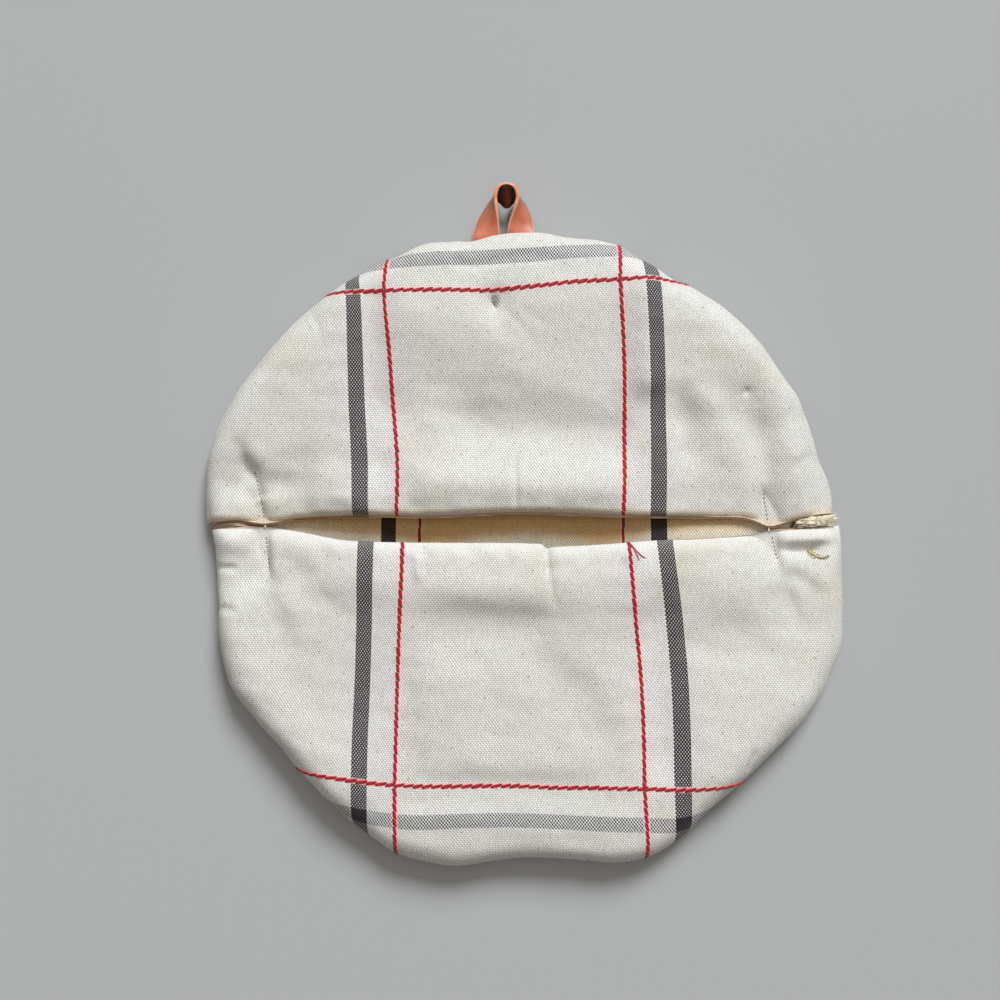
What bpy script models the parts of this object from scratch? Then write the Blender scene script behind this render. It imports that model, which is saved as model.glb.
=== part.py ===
"""A round pot holder with two hand pockets, lying face up.

A padded round back carries two padded half-round pockets. They are sewn to it round the rim and open
towards each other along a slot across the middle, where fingers go into one and the thumb into the other.
A stitch through all layers draws the slot together near each end. A strip of leather, caught in the rim's
seam by both its ends, makes the hanging loop.

Sizes are in millimetres. +X runs to the right along the slot, +Y towards the hanging loop and +Z up. The
origin is under the middle of the slot, on the surface that the pot holder lies on.
"""

import math

import bmesh
import bpy
from mathutils import Vector

MM = 0.001
PIECE_GAP = 0.3  # left between neighbouring pieces

# The rim, seen from above, about the middle of the slot. Each pocket has its own, uneven as sewn.
# angle in degrees from +X, radius
UPPER_RIM = (
    (0, 96.8), (6, 96.0), (11, 94.5), (20, 94.3), (26, 94.7), (32, 93.7), (40, 93.7), (50, 92.7),
    (56, 91.5), (60, 90.6), (66, 91.6), (72, 93.1), (80, 92.0), (90, 92.2), (96, 91.5), (101, 90.9),
    (104, 92.2), (109, 94.0), (116, 94.0), (130, 95.6), (140, 96.7), (150, 98.4), (160, 100.6),
    (165, 101.5), (171, 101.2), (180, 99.6),
)
LOWER_RIM = (
    (180, 98.3), (185, 97.5), (190, 98.0), (195, 99.7), (200, 101.9), (205, 103.9), (210, 104.8),
    (215, 103.9), (221, 103.0), (230, 104.5), (236, 106.3), (243, 108.1), (249, 109.7), (255, 109.3),
    (260, 107.7), (265, 105.0), (271, 103.5), (280, 106.1), (285, 109.0), (290, 110.3), (296, 109.3),
    (303, 106.0), (310, 104.9), (320, 105.3), (328, 106.6), (335, 106.4), (340, 105.8), (346, 102.8),
    (351, 100.8), (355, 99.9), (360, 98.7),
)
# Where each pocket's mouth lies along the slot: x, y
UPPER_MOUTH = (
    (-100, 1.8), (-89, 2.4), (-81, 1.5), (-70, 2.9), (-53, 3.8), (-30, 3.6), (-2, 4.7), (30, 3.8),
    (55, 3.3), (67, 3.1), (71, 2.2), (76, 0.4), (83, 2.2), (90, 3.9), (97, 4.4),
)
LOWER_MOUTH = (
    (-99, -0.6), (-89, -0.3), (-81, 0.1), (-70, -1.3), (-56, -3.9), (-39, -4.9), (-8, -5.3), (6, -6.2),
    (24, -5.3), (39, -4.2), (55, -3.6), (63, -3.0), (70, -2.2), (76, -1.1), (85, -0.6), (92, 0.0), (99, 0.8),
)
LEFT_TACK_X, RIGHT_TACK_X = -81.0, 76.0  # the stitches that close the slot's ends
RIM_JOIN_DEG = 8.0  # the back's rim eases from one pocket's outline to the other's over this angle

# The back, in section
SEAM_HEIGHT = 4.5
BACK_HEIGHT = 6.6
BACK_INSET = 0.8  # the back's rim lies this far under the pockets' rims
BACK_TOP_ROUND = 10.0
BACK_FOOT_ROUND = 9.0

# The pockets, in section
POCKET_THICKNESS = 4.2
POCKET_RIM_ROUND = 7.0
MOUTH_ROUND = 2.4
MOUTH_UNDER_SHARE = 0.22  # how much of the mouth's rounding is on its underside
EDGE_THICKNESS = 0.5
HAND_ROOM = {"upper": 7.6, "lower": 6.6}  # the hollow's height in the middle of the mouth
TUNNEL_POWER = 0.8
RIM_SLACK = 0.4  # more room between back and pocket where both curve down to the rim
RIM_SLACK_REACH = 9.0
FACING_THICKNESS = 0.7
FACING_GAP = 0.5
FACING_ROOM = FACING_THICKNESS + FACING_GAP + 0.3
FACING_DEPTH = 9.0
FACING_FADE = 9.0
FACING_SHOWS = 0.55
FACING_COLUMNS = (5, 37)  # the columns of the pocket's mesh that it spans

# Broad folds of the pockets: from x, y to x, y, half width, height
FOLDS = (
    (-42, 64, 26, 62, 17, 1.3),  # the filling gathered below the top seam
    (-38, 36, 30, 32, 10, -1.3),  # the trough across the upper pocket
    (-40, 16, 44, 14, 9, 0.9),  # the roll behind the upper mouth
    (-9, 69, -9, 69, 5, -1.4),  # a pinch below the top seam
    (66, 40, 74, 24, 6, 0.9),
    (80, 44, 84, 24, 7, -0.9),
    (-88, 30, -74, 40, 10, -0.8),
    (-34, -17, 14, -19, 8, 1.5),  # the roll behind the lower mouth
    (-34, -33, 18, -34, 8, -1.2),
    (52, -22, 74, -23, 7, 0.8),
    (54, -34, 76, -36, 8, -0.7),
    (-73, -16, -54, -16, 6, 0.6),
    (10, -32, 26, -64, 7, -0.8),
    (-80, -22, -68, -42, 5, -0.9),
    (82, -8, 95, -7, 3.5, -1.1),
    (84, -15, 97, -20, 3.5, -0.9),
    (-92, -24, -84, -26, 4, -0.6),
    (-28, -64, -30, -76, 6, -0.6),
)
# Creases that each end stitch pulls, one side standing over the other: from x, y at the stitch to x, y
CREASES = (
    (-81, 1, -86, 20, 1.6),
    (-81, 0, -79, -17, 1.6),
    (76, 0, 73, 12, 1.2),
    (76, 0, 80, -12, 1.6),
)
CREASE_STEP = 2.5
CREASE_FADE = 7.0
TACK_PULL = 2.2
TACK_PULL_REACH = 9.0

# The leather loop: a flat strip that rolls on edge, round its top and back, so that it leans inwards there.
# share of the way round, near edge's x, y, z, far edge's x, y, z
LOOP_THICKNESS = 1.2
LOOP_EDGES = (
    (0.00, -7.9, 88.2, 5.8, -16.4, 88.2, 5.8),
    (0.07, -7.9, 91.2, 5.9, -16.2, 91.4, 5.8),
    (0.18, -8.2, 96.4, 7.3, -14.7, 95.8, 4.0),
    (0.27, -8.8, 100.3, 8.6, -12.4, 100.1, 1.9),
    (0.35, -9.2, 103.4, 9.2, -10.0, 103.4, 1.2),
    (0.43, -8.3, 106.3, 9.4, -7.8, 102.6, 2.4),
    (0.50, -5.8, 107.3, 9.4, -5.7, 100.2, 4.6),
    (0.57, -3.3, 106.3, 9.4, -3.7, 102.4, 2.4),
    (0.65, -2.3, 103.4, 9.1, -1.5, 103.3, 1.2),
    (0.73, -2.8, 100.2, 8.5, 0.6, 100.4, 1.9),
    (0.82, -4.0, 96.4, 7.2, 2.3, 95.9, 4.0),
    (0.93, -5.4, 91.2, 5.9, 3.0, 91.4, 5.8),
    (1.00, -5.7, 88.2, 5.8, 3.0, 88.2, 5.8),
)
LOOP_ROOM_X = (-19.0, 5.5)  # where the seam opens round the strip's two ends
LOOP_ROOM_FADE = 6.0
LOOP_ROOM_DEPTH = 5.0
LOOP_ROOT_HEIGHT = 5.8
LOOP_ROOM_GAP = PIECE_GAP + 0.2

# The tuft of wadding in the slot's right end
TUFT_CENTRE = (90.6, 1.7)
TUFT_HALF = (5.6, 1.15, 1.5)
TUFT_TURN_DEG = 8.0
TUFT_HEIGHT = 8.6
TUFT_LUMPS = 0.16

COLUMNS, ROWS = 44, 18  # of a pocket's mesh
BACK_CELLS = 30


def read(table, at, column=1):
    """A smooth curve through the table's points, read at a value of its first column."""
    last = len(table) - 1
    if at <= table[0][0]:
        return table[0][column]
    if at >= table[last][0]:
        return table[last][column]
    i = max(k for k in range(last) if table[k][0] <= at)

    def slope(k):
        a, b = table[max(k - 1, 0)], table[min(k + 1, last)]
        return (b[column] - a[column]) / (b[0] - a[0])

    step = table[i + 1][0] - table[i][0]
    t = (at - table[i][0]) / step
    rise = table[i + 1][column] - table[i][column]
    start, end = slope(i) * step, slope(i + 1) * step
    return table[i][column] + t * start + t * t * (3 * rise - 2 * start - end) + t**3 * (start + end - 2 * rise)


def ease(t):
    t = min(max(t, 0.0), 1.0)
    return t * t * (3 - 2 * t)


def rounded(depth, reach):
    """The share of its full height that a rounded edge has at this depth from the edge."""
    t = min(max(depth / reach, 0.0), 1.0)
    return math.sqrt(1 - (1 - t) ** 2)


def pocket_rim(side, angle_deg):
    return read(UPPER_RIM if side > 0 else LOWER_RIM, angle_deg)


def pocket_mouth(side, x):
    return read(UPPER_MOUTH if side > 0 else LOWER_MOUTH, x)


def back_rim(x, y):
    """The back's radius towards x, y: the pockets' own, eased into each other at the slot's ends."""
    angle = math.degrees(math.atan2(y, x)) % 360
    side = 1 if angle <= 180 else -1
    own = pocket_rim(side, angle)
    end = min((0, 180, 360), key=lambda join: abs(join - angle))
    across = 180 if end == 180 else 360 if side > 0 else 0
    share = 0.5 * (1 - ease(abs(end - angle) / RIM_JOIN_DEG))
    return own * (1 - share) + pocket_rim(-side, across) * share - BACK_INSET


def loop_room(x, y):
    """1 where the loop's ends pass through the seam, falling to 0 round them."""
    if y < 0:
        return 0.0
    beside = max(LOOP_ROOM_X[0] - x, x - LOOP_ROOM_X[1], 0.0)
    inside = back_rim(x, y) - math.hypot(x, y)
    return (1 - ease(beside / LOOP_ROOM_FADE)) * (1 - ease((inside - LOOP_ROOM_DEPTH) / LOOP_ROOM_FADE))


def back_top(x, y):
    depth = back_rim(x, y) - math.hypot(x, y)
    top = SEAM_HEIGHT + (BACK_HEIGHT - SEAM_HEIGHT) * rounded(depth, BACK_TOP_ROUND)
    held_down = LOOP_ROOT_HEIGHT - LOOP_THICKNESS / 2 - LOOP_ROOM_GAP
    return top + (min(top, held_down) - top) * loop_room(x, y)


def back_foot(x, y):
    depth = back_rim(x, y) - math.hypot(x, y)
    return (SEAM_HEIGHT - EDGE_THICKNESS) * (1 - rounded(depth, BACK_FOOT_ROUND))


def fold_height(x, y):
    """The broad folds and the creases at the end stitches."""
    here = Vector((x, y))
    height = 0.0
    for x0, y0, x1, y1, half_width, rise in FOLDS:
        start, run = Vector((x0, y0)), Vector((x1 - x0, y1 - y0))
        along = min(max((here - start).dot(run) / max(run.length_squared, 1e-6), 0.0), 1.0)
        height += rise * math.exp(-(((here - start - along * run).length / half_width) ** 2))
    for x0, y0, x1, y1, rise in CREASES:
        start, run = Vector((x0, y0)), Vector((x1 - x0, y1 - y0))
        along = (here - start).dot(run) / run.length_squared
        off = (here - start - along * run).dot(Vector((1, 0)))
        fading = (1 - ease(along)) * ease(along * 8 + 1)
        height -= rise * fading * math.tanh(off / CREASE_STEP) * math.exp(-abs(off) / CREASE_FADE)
    for tack_x in (LEFT_TACK_X, RIGHT_TACK_X):
        height -= TACK_PULL * math.exp(-(((x - tack_x) ** 2 + y * y) / TACK_PULL_REACH**2))
    return height


def hollow(side, x, from_rim, from_mouth):
    """The height of the space under a pocket: a low tunnel between the end stitches, closed at the rim."""
    middle = (LEFT_TACK_X + RIGHT_TACK_X) / 2
    across = min(abs(x - middle) / ((RIGHT_TACK_X - LEFT_TACK_X) / 2), 1.0)
    tunnel = (1 - across**2) ** TUNNEL_POWER
    open_share = max(from_rim, 0.0) / max(from_rim + max(from_mouth, 0.0), 1e-6)
    hand = HAND_ROOM["upper" if side > 0 else "lower"] * tunnel * math.sin(math.pi / 2 * open_share)
    facing = FACING_ROOM * (1 - ease((from_mouth - FACING_DEPTH - 1) / FACING_FADE)) * ease(from_rim / 4)
    slack = RIM_SLACK * (1 - ease(from_rim / RIM_SLACK_REACH)) * ease(from_rim / 0.5)
    return hand + facing + slack


def pocket_faces(side, x, y, from_rim):
    """The heights of a pocket's underside and of its upper face."""
    from_mouth = side * (y - pocket_mouth(side, x))
    inside = rounded(from_rim, POCKET_RIM_ROUND)
    full = POCKET_THICKNESS * inside
    at_mouth = 1 - rounded(from_mouth, MOUTH_ROUND)
    base = back_top(x, y) + PIECE_GAP + hollow(side, x, from_rim, from_mouth)
    over_loop = LOOP_ROOT_HEIGHT + LOOP_THICKNESS / 2 + LOOP_ROOM_GAP
    base += max(over_loop - base, 0.0) * loop_room(x, y)
    under = base + full * MOUTH_UNDER_SHARE * at_mouth
    upper = base + full * (1 - (1 - MOUTH_UNDER_SHARE) * at_mouth)
    upper += fold_height(x, y) * inside * (1 - 0.6 * at_mouth)
    return under, max(upper, under + EDGE_THICKNESS)


def slab(name, columns, rows, lower, upper):
    """A closed solid between two faces: each gives a point for u from -1 to 1 and v from 0 to 1."""
    shape = bmesh.new()
    bmesh.ops.create_grid(shape, x_segments=columns, y_segments=rows, size=1)
    base = list(shape.verts)
    spots = [(v.co.x, (v.co.y + 1) / 2) for v in base]
    made = bmesh.ops.extrude_face_region(shape, geom=list(shape.faces))
    raised = [v for v in made["geom"] if isinstance(v, bmesh.types.BMVert)]
    spots_raised = [(v.co.x, (v.co.y + 1) / 2) for v in raised]
    for vert, (u, v) in zip(base, spots):
        vert.co = Vector(lower(u, v)) * MM
    for vert, (u, v) in zip(raised, spots_raised):
        vert.co = Vector(upper(u, v)) * MM
    return placed(name, shape)


def placed(name, shape):
    """The finished bmesh as an object of its own, shaded smooth."""
    bmesh.ops.recalc_face_normals(shape, faces=shape.faces)
    if shape.calc_volume(signed=True) < 0:
        bmesh.ops.reverse_faces(shape, faces=shape.faces)
    mesh = bpy.data.meshes.new(name)
    shape.to_mesh(mesh)
    shape.free()
    mesh.shade_smooth()
    mesh.set_sharp_from_angle(angle=math.radians(50))
    obj = bpy.data.objects.new(name, mesh)
    holder.objects.link(obj)
    return obj


def paint(obj, name, colour, roughness):
    material = bpy.data.materials.new(name)
    material.use_nodes = True
    shader = material.node_tree.nodes["Principled BSDF"]
    shader.inputs["Base Color"].default_value = (*colour, 1)
    shader.inputs["Roughness"].default_value = roughness
    shader.inputs["Metallic"].default_value = 0
    material.diffuse_color = (*colour, 1)
    obj.data.materials.append(material)


def round_plan(u, v):
    """A square's point as a point of the unit disc, with the cells packed closer at the edge."""
    across, along = math.sin(math.pi / 2 * u), math.sin(math.pi / 2 * v)
    return across * math.sqrt(1 - along**2 / 2), along * math.sqrt(1 - across**2 / 2)


def make_back():
    def plan(u, v):
        p, q = round_plan(u, 2 * v - 1)
        reach = back_rim(p, q)
        return p * reach, q * reach

    def foot(u, v):
        x, y = plan(u, v)
        return x, y, back_foot(x, y)

    def top(u, v):
        x, y = plan(u, v)
        return x, y, max(back_top(x, y), back_foot(x, y) + EDGE_THICKNESS)

    back = slab("back_pad", BACK_CELLS, BACK_CELLS, foot, top)
    paint(back, "back_cotton", (0.70, 0.69, 0.62), 0.9)


def make_pocket(name, side):
    def plan(u, v):
        across = math.sin(math.pi / 2 * u)
        inward = (1 - math.cos(math.pi * v)) / 2
        p, q = across * math.sqrt(1 - inward**2 / 2), inward * math.sqrt(1 - across**2 / 2)
        angle = math.degrees(math.atan2(q, p))
        rim = pocket_rim(side, angle if side > 0 else 360 - angle)
        x = p * rim
        y = side * q * rim + pocket_mouth(side, x) * (1 - inward) ** 2
        return x, y, rim * (1 - math.hypot(p, q))

    def under(u, v):
        x, y, from_rim = plan(u, v)
        return x, y, pocket_faces(side, x, y, from_rim)[0]

    def upper(u, v):
        x, y, from_rim = plan(u, v)
        return x, y, pocket_faces(side, x, y, from_rim)[1]

    pocket = slab(name, COLUMNS, ROWS, under, upper)
    paint(pocket, name + "_cotton", (0.76, 0.75, 0.68), 0.9)


def rim_depth(side, x, y):
    angle = math.degrees(math.atan2(y, x)) % 360
    if side > 0 and angle > 180:
        angle = 0 if x > 0 else 180
    if side < 0 and angle < 180:
        angle = 360 if x > 0 else 180
    return pocket_rim(side, angle) - math.hypot(x, y)


def make_facing(name, side):
    """The strip turned in behind a pocket's mouth. Its edge shows a little past the mouth."""
    first, last = FACING_COLUMNS

    def plan(u, v):
        column = first + (last - first) * (u + 1) / 2
        across = math.sin(math.pi / 2 * (2 * column / COLUMNS - 1))
        x = across * pocket_rim(side, 180 if across < 0 else 0 if side > 0 else 360)
        inward = -FACING_SHOWS + (FACING_DEPTH + FACING_SHOWS) * v
        return x, pocket_mouth(side, x) + side * inward

    def top_height(x, y):
        return pocket_faces(side, x, y, rim_depth(side, x, y))[0] - FACING_GAP

    def under(u, v):
        x, y = plan(u, v)
        return x, y, top_height(x, y) - FACING_THICKNESS

    def upper(u, v):
        x, y = plan(u, v)
        return x, y, top_height(x, y)

    facing = slab(name, last - first, 4, under, upper)
    paint(facing, name + "_cotton", (0.55, 0.44, 0.31), 0.9)


def make_loop():
    """The strip spans its two edges' routes."""

    def edges(at):
        near = Vector([read(LOOP_EDGES, at, k) for k in (1, 2, 3)])
        far = Vector([read(LOOP_EDGES, at, k) for k in (4, 5, 6)])
        return near, far

    def face(u, v, half):
        at = (u + 1) / 2
        near, far = edges(at)
        ahead, behind = edges(min(at + 0.01, 1)), edges(max(at - 0.01, 0))
        forward = ahead[0].lerp(ahead[1], v) - behind[0].lerp(behind[1], v)
        through = (far - near).cross(forward).normalized()
        return near.lerp(far, v) + through * half

    loop = slab(
        "hanging_loop", 48, 4,
        lambda u, v: face(u, v, -LOOP_THICKNESS / 2),
        lambda u, v: face(u, v, LOOP_THICKNESS / 2),
    )
    paint(loop, "tan_leather", (0.50, 0.15, 0.07), 0.55)


def make_tuft():
    """The lump of wadding that pushes out of the burst seam."""
    shape = bmesh.new()
    bmesh.ops.create_uvsphere(shape, u_segments=16, v_segments=10, radius=1)
    turn = math.radians(TUFT_TURN_DEG)
    for vert in shape.verts:
        p = vert.co.copy()
        lump = 1 + TUFT_LUMPS * math.sin(5 * p.x + 2 * p.z) * math.cos(4 * p.y + 3 * p.x)
        x, y, z = (p[k] * TUFT_HALF[k] * lump for k in range(3))
        vert.co = MM * Vector((
            TUFT_CENTRE[0] + x * math.cos(turn) - y * math.sin(turn),
            TUFT_CENTRE[1] + x * math.sin(turn) + y * math.cos(turn),
            TUFT_HEIGHT + z,
        ))
    paint(placed("wadding_tuft", shape), "wadding", (0.74, 0.68, 0.54), 1.0)


for old in list(bpy.data.objects):
    bpy.data.objects.remove(old)
holder = bpy.data.collections.new("pot_holder")
bpy.context.scene.collection.children.link(holder)

make_back()
make_pocket("upper_pocket", 1)
make_pocket("lower_pocket", -1)
make_facing("upper_facing", 1)
make_facing("lower_facing", -1)
make_loop()
make_tuft()
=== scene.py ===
import math

import bmesh
import bpy
import numpy as np
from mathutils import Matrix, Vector
from mathutils.bvhtree import BVHTree


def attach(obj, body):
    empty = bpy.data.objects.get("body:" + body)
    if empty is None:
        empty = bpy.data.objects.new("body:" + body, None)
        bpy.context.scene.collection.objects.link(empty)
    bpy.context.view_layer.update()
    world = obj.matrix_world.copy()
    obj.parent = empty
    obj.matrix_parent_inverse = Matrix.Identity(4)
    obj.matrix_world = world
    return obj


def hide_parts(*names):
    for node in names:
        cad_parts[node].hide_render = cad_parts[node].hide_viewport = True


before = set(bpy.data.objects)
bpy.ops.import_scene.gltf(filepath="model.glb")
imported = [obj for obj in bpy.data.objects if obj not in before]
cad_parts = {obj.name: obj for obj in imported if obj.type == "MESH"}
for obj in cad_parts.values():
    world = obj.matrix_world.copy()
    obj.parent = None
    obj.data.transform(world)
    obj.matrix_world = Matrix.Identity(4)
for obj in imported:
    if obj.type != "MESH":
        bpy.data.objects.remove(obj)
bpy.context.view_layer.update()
MM = 0.001

# ---- The round back ----
# Two faces of check cotton over wadding, the full outline of the pot holder. Its underside lies on the
# table and its upper face shows only in the slot. The pockets' rims are sewn to its own rim all round.

# The rim, seen from above, about the middle of the slot: angle in degrees from +X, radius in mm
UPPER_RIM = (
    (0, 96.8), (6, 96.0), (11, 94.5), (20, 94.3), (26, 94.7), (32, 93.7), (40, 93.7), (50, 92.7),
    (56, 91.5), (60, 90.6), (66, 91.6), (72, 93.1), (80, 92.0), (90, 92.2), (96, 91.5), (101, 90.9),
    (104, 92.2), (109, 94.0), (116, 94.0), (130, 95.6), (140, 96.7), (150, 98.4), (160, 100.6),
    (165, 101.5), (171, 101.2), (180, 99.6),
)
LOWER_RIM = (
    (180, 98.3), (185, 97.5), (190, 98.0), (195, 99.7), (200, 101.9), (205, 103.9), (210, 104.8),
    (215, 103.9), (221, 103.0), (230, 104.5), (236, 106.3), (243, 108.1), (249, 109.7), (255, 109.3),
    (260, 107.7), (265, 105.0), (271, 103.5), (280, 106.1), (285, 109.0), (290, 110.3), (296, 109.3),
    (303, 106.0), (310, 104.9), (320, 105.3), (328, 106.6), (335, 106.4), (340, 105.8), (346, 102.8),
    (351, 100.8), (355, 99.9), (360, 98.7),
)
RIM_JOIN_DEG = 8.0
SEAM_HEIGHT, BACK_HEIGHT, BACK_INSET = 4.5, 6.6, 0.8
BACK_TOP_ROUND, BACK_FOOT_ROUND, EDGE_THICKNESS = 10.0, 9.0, 0.5
LOOP_ROOM_X, LOOP_ROOM_FADE, LOOP_ROOM_DEPTH = (-19.0, 5.5), 6.0, 5.0
LOOP_ROOT_HEIGHT, LOOP_THICKNESS, PIECE_GAP = 5.8, 1.2, 0.3
LOOP_ROOM_GAP = PIECE_GAP + 0.2


def curve(table, at, column=1):
    """A smooth curve through the table's points, read at values of its first column."""
    points = np.array(table, float)
    x, y = points[:, 0], points[:, column]
    slope = np.gradient(y)
    slope[1:-1] = (y[2:] - y[:-2]) / (x[2:] - x[:-2])
    slope[0], slope[-1] = (y[1] - y[0]) / (x[1] - x[0]), (y[-1] - y[-2]) / (x[-1] - x[-2])
    i = np.clip(np.searchsorted(x, at) - 1, 0, len(x) - 2)
    step, rise = x[i + 1] - x[i], y[i + 1] - y[i]
    t = np.clip((at - x[i]) / step, 0, 1)
    start, end = slope[i] * step, slope[i + 1] * step
    return y[i] + t * start + t * t * (3 * rise - 2 * start - end) + t**3 * (start + end - 2 * rise)


def ease(t):
    """From 0 to 1, starting and ending softly."""
    t = np.clip(t, 0, 1)
    return t * t * (3 - 2 * t)


def rounded(depth, reach):
    """The share of its full height that a rounded edge has at this depth from the edge."""
    return np.sqrt(1 - (1 - np.clip(depth / reach, 0, 1)) ** 2)


def over_the_edge(depth, reach, height):
    """How much longer the way over a rounded edge is than its plan, from this depth out to the edge."""
    steps = np.linspace(0, 1, 200) ** 2 * reach
    rise = height * rounded(steps, reach)
    longer = np.hypot(np.diff(steps), np.diff(rise)) - np.diff(steps)
    return np.interp(depth, steps, np.append(longer[::-1].cumsum()[::-1], 0))


def back_rim(x, y):
    """The back's radius towards each point, eased at the slot's ends, where the two outlines don't meet."""
    angle = np.degrees(np.arctan2(y, x)) % 360
    at_right, at_left = LOWER_RIM[-1][1] - UPPER_RIM[0][1], LOWER_RIM[0][1] - UPPER_RIM[-1][1]
    off = np.minimum(np.minimum(angle, abs(angle - 180)), 360 - angle)
    eased = np.where(abs(angle - 180) > 90, at_right, at_left) / 2 * (1 - ease(off / RIM_JOIN_DEG))
    own = np.where(angle <= 180, curve(UPPER_RIM, angle) + eased, curve(LOWER_RIM, angle) - eased)
    return own - BACK_INSET


def loop_room(x, y):
    """1 where the loop's ends pass through the seam, falling to 0 round them."""
    beside = np.maximum(np.maximum(LOOP_ROOM_X[0] - x, x - LOOP_ROOM_X[1]), 0)
    inside = back_rim(x, y) - np.hypot(x, y)
    room = (1 - ease(beside / LOOP_ROOM_FADE)) * (1 - ease((inside - LOOP_ROOM_DEPTH) / LOOP_ROOM_FADE))
    return np.where(y < 0, 0, room)


def back_top(x, y):
    top = SEAM_HEIGHT + (BACK_HEIGHT - SEAM_HEIGHT) * rounded(back_rim(x, y) - np.hypot(x, y), BACK_TOP_ROUND)
    held_down = LOOP_ROOT_HEIGHT - LOOP_THICKNESS / 2 - LOOP_ROOM_GAP
    return top + (np.minimum(top, held_down) - top) * loop_room(x, y)


def uneven(x, y, height, size, seed):
    """A soft random unevenness of this height up and down, with swells of this size, in mm."""
    random = np.random.default_rng(seed)
    total = 0
    for heading, phase, scale in zip(random.uniform(0, math.tau, 9), random.uniform(0, math.tau, 9),
                                     random.uniform(0.7, 1.5, 9)):
        along = x * math.cos(heading) + y * math.sin(heading)
        total = total + np.sin(math.tau * along / (size * scale) + phase)
    return height * (total / 4)


def placed(name, data):
    obj = bpy.data.objects.new(name, data)
    bpy.context.scene.collection.objects.link(obj)
    return obj


def slab(name, columns, rows, faces):
    """A closed pad. For each point u from -1 to 1, v from 0 to 1, on the upper or the lower face, faces gives
    x, y and z, where it is on the cloth's width and length, all in mm, and how much warm shade is painted
    there, or less than 0 how much light is painted there. The last three are kept as the mesh's cloth
    attribute."""
    shape = bmesh.new()
    bmesh.ops.create_grid(shape, x_segments=columns, y_segments=rows, size=1)
    made = bmesh.ops.extrude_face_region(shape, geom=list(shape.faces))
    raised = [v for v in made["geom"] if isinstance(v, bmesh.types.BMVert)]
    bmesh.ops.translate(shape, vec=(0, 0, 1), verts=raised)
    bmesh.ops.recalc_face_normals(shape, faces=shape.faces)
    mesh = bpy.data.meshes.new(name)
    shape.to_mesh(mesh)
    shape.free()
    spots = np.empty(len(mesh.vertices) * 3)
    mesh.vertices.foreach_get("co", spots)
    u, v, level = spots.reshape(-1, 3).T
    x, y, z, warp_at, weft_at, painted_shade_and_light = faces(u, (v + 1) / 2, level > 0.5)
    mesh.vertices.foreach_set("co", (np.stack([x, y, z], 1) * MM).ravel())
    cloth = mesh.attributes.new("cloth", "FLOAT_VECTOR", "POINT")
    cloth.data.foreach_set("vector", np.stack([warp_at, weft_at, painted_shade_and_light], 1).ravel())
    mesh.update()
    shape = bmesh.new()
    shape.from_mesh(mesh)
    if shape.calc_volume(signed=True) < 0:
        mesh.flip_normals()
    shape.free()
    mesh.shade_smooth()
    return placed(name, mesh)


# The check, counted across the cloth in mm: where its stripes and red lines run, before any distortion
CHARCOAL_STRIPES, RED_LINES = (-51.5, 43.0), (-40.0, 32.0)
CROSS_STRIPES, CROSS_RED = (84.5, -90.5), (75.0, -79.5)
STRIPE_HALF, CROSS_STRIPE_HALF = 2.5, 2.25
# The same stripes and lines as they lie, in mm: y, then x of the stripe, line, line and stripe
BACK_RUN = ((-60, -43.0, -33.4, 31.6, 42.6), (0, -42.4, -32.9, 30.7, 41.8), (60, -42.0, -32.0, 30.0, 41.5))
UNDERSIDE_RUN = (
    (-90, -46.0, -35.2, 34.4, 45.4), (0, -47.2, -36.2, 35.0, 46.0), (80, -46.4, -35.0, 35.8, 46.6),
)


def across_cloth(x, y, run):
    """Where on the cloth's width each point lies, so that each stripe follows its run."""
    nominal = (CHARCOAL_STRIPES[0], RED_LINES[0], RED_LINES[1], CHARCOAL_STRIPES[1])
    lies = [curve(run, y, k + 1) for k in range(4)]
    moved = lies[0] - nominal[0]
    for k in range(3):
        share = np.clip((x - lies[k]) / (lies[k + 1] - lies[k]), 0, 1)
        moved = moved + (lies[k + 1] - nominal[k + 1] - lies[k] + nominal[k]) * share
    return x - moved


# How far the wadding swells the back's upper face up between the pockets' mouths, in mm: x, height
SLOT_SWELL = (
    (-84, 0.0), (-76, 0.5), (-70, 1.0), (-58, 1.5), (-45, 1.2), (-30, 0.9), (0, 1.2), (23, 0.9), (33, 1.2),
    (42, 2.2), (50, 2.5), (60, 2.0), (70, 1.0), (78, 0.0),
)
SWELL_MIDDLE, SWELL_REACH = -2, 8
# Where in the slot the painted warm shade on the back's upper face, under the upper lip's shadow, gives way
# to cream: x, y
SLOT_SHADE_EDGE = (
    (-90, 2.1), (-78, 1.8), (-70, 1.2), (-58, -0.8), (-45, -2.6), (-30, -5.8), (-8, -2.2), (12, -2.4),
    (23, -5.4), (33, -3.4), (42, -0.8), (50, 0.2), (60, 0.2), (70, 0.6), (80, 2.8), (95, 3.5),
)
SLOT_SHADE_FADE = 5.5
# Unevenness: its height in mm, or for the foot as a share of its lift, the size of its swells, its seed
RIM_UNEVEN, FOOT_UNEVEN, TOP_UNEVEN, SLOT_SHADE_UNEVEN = (0.25, 17, 5), (1, 21, 6), (0.1, 19, 8), (0.5, 9, 23)
ROUND_RADIUS, FOOT_LIFT, FOOT_LIFT_REACH = 95, 0.12, 16


def slot_swell(x, y):
    over = np.exp(-(((y - SWELL_MIDDLE) / SWELL_REACH) ** 2))
    return curve(SLOT_SWELL, np.clip(x, SLOT_SWELL[0][0], SLOT_SWELL[-1][0])) * over


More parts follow.
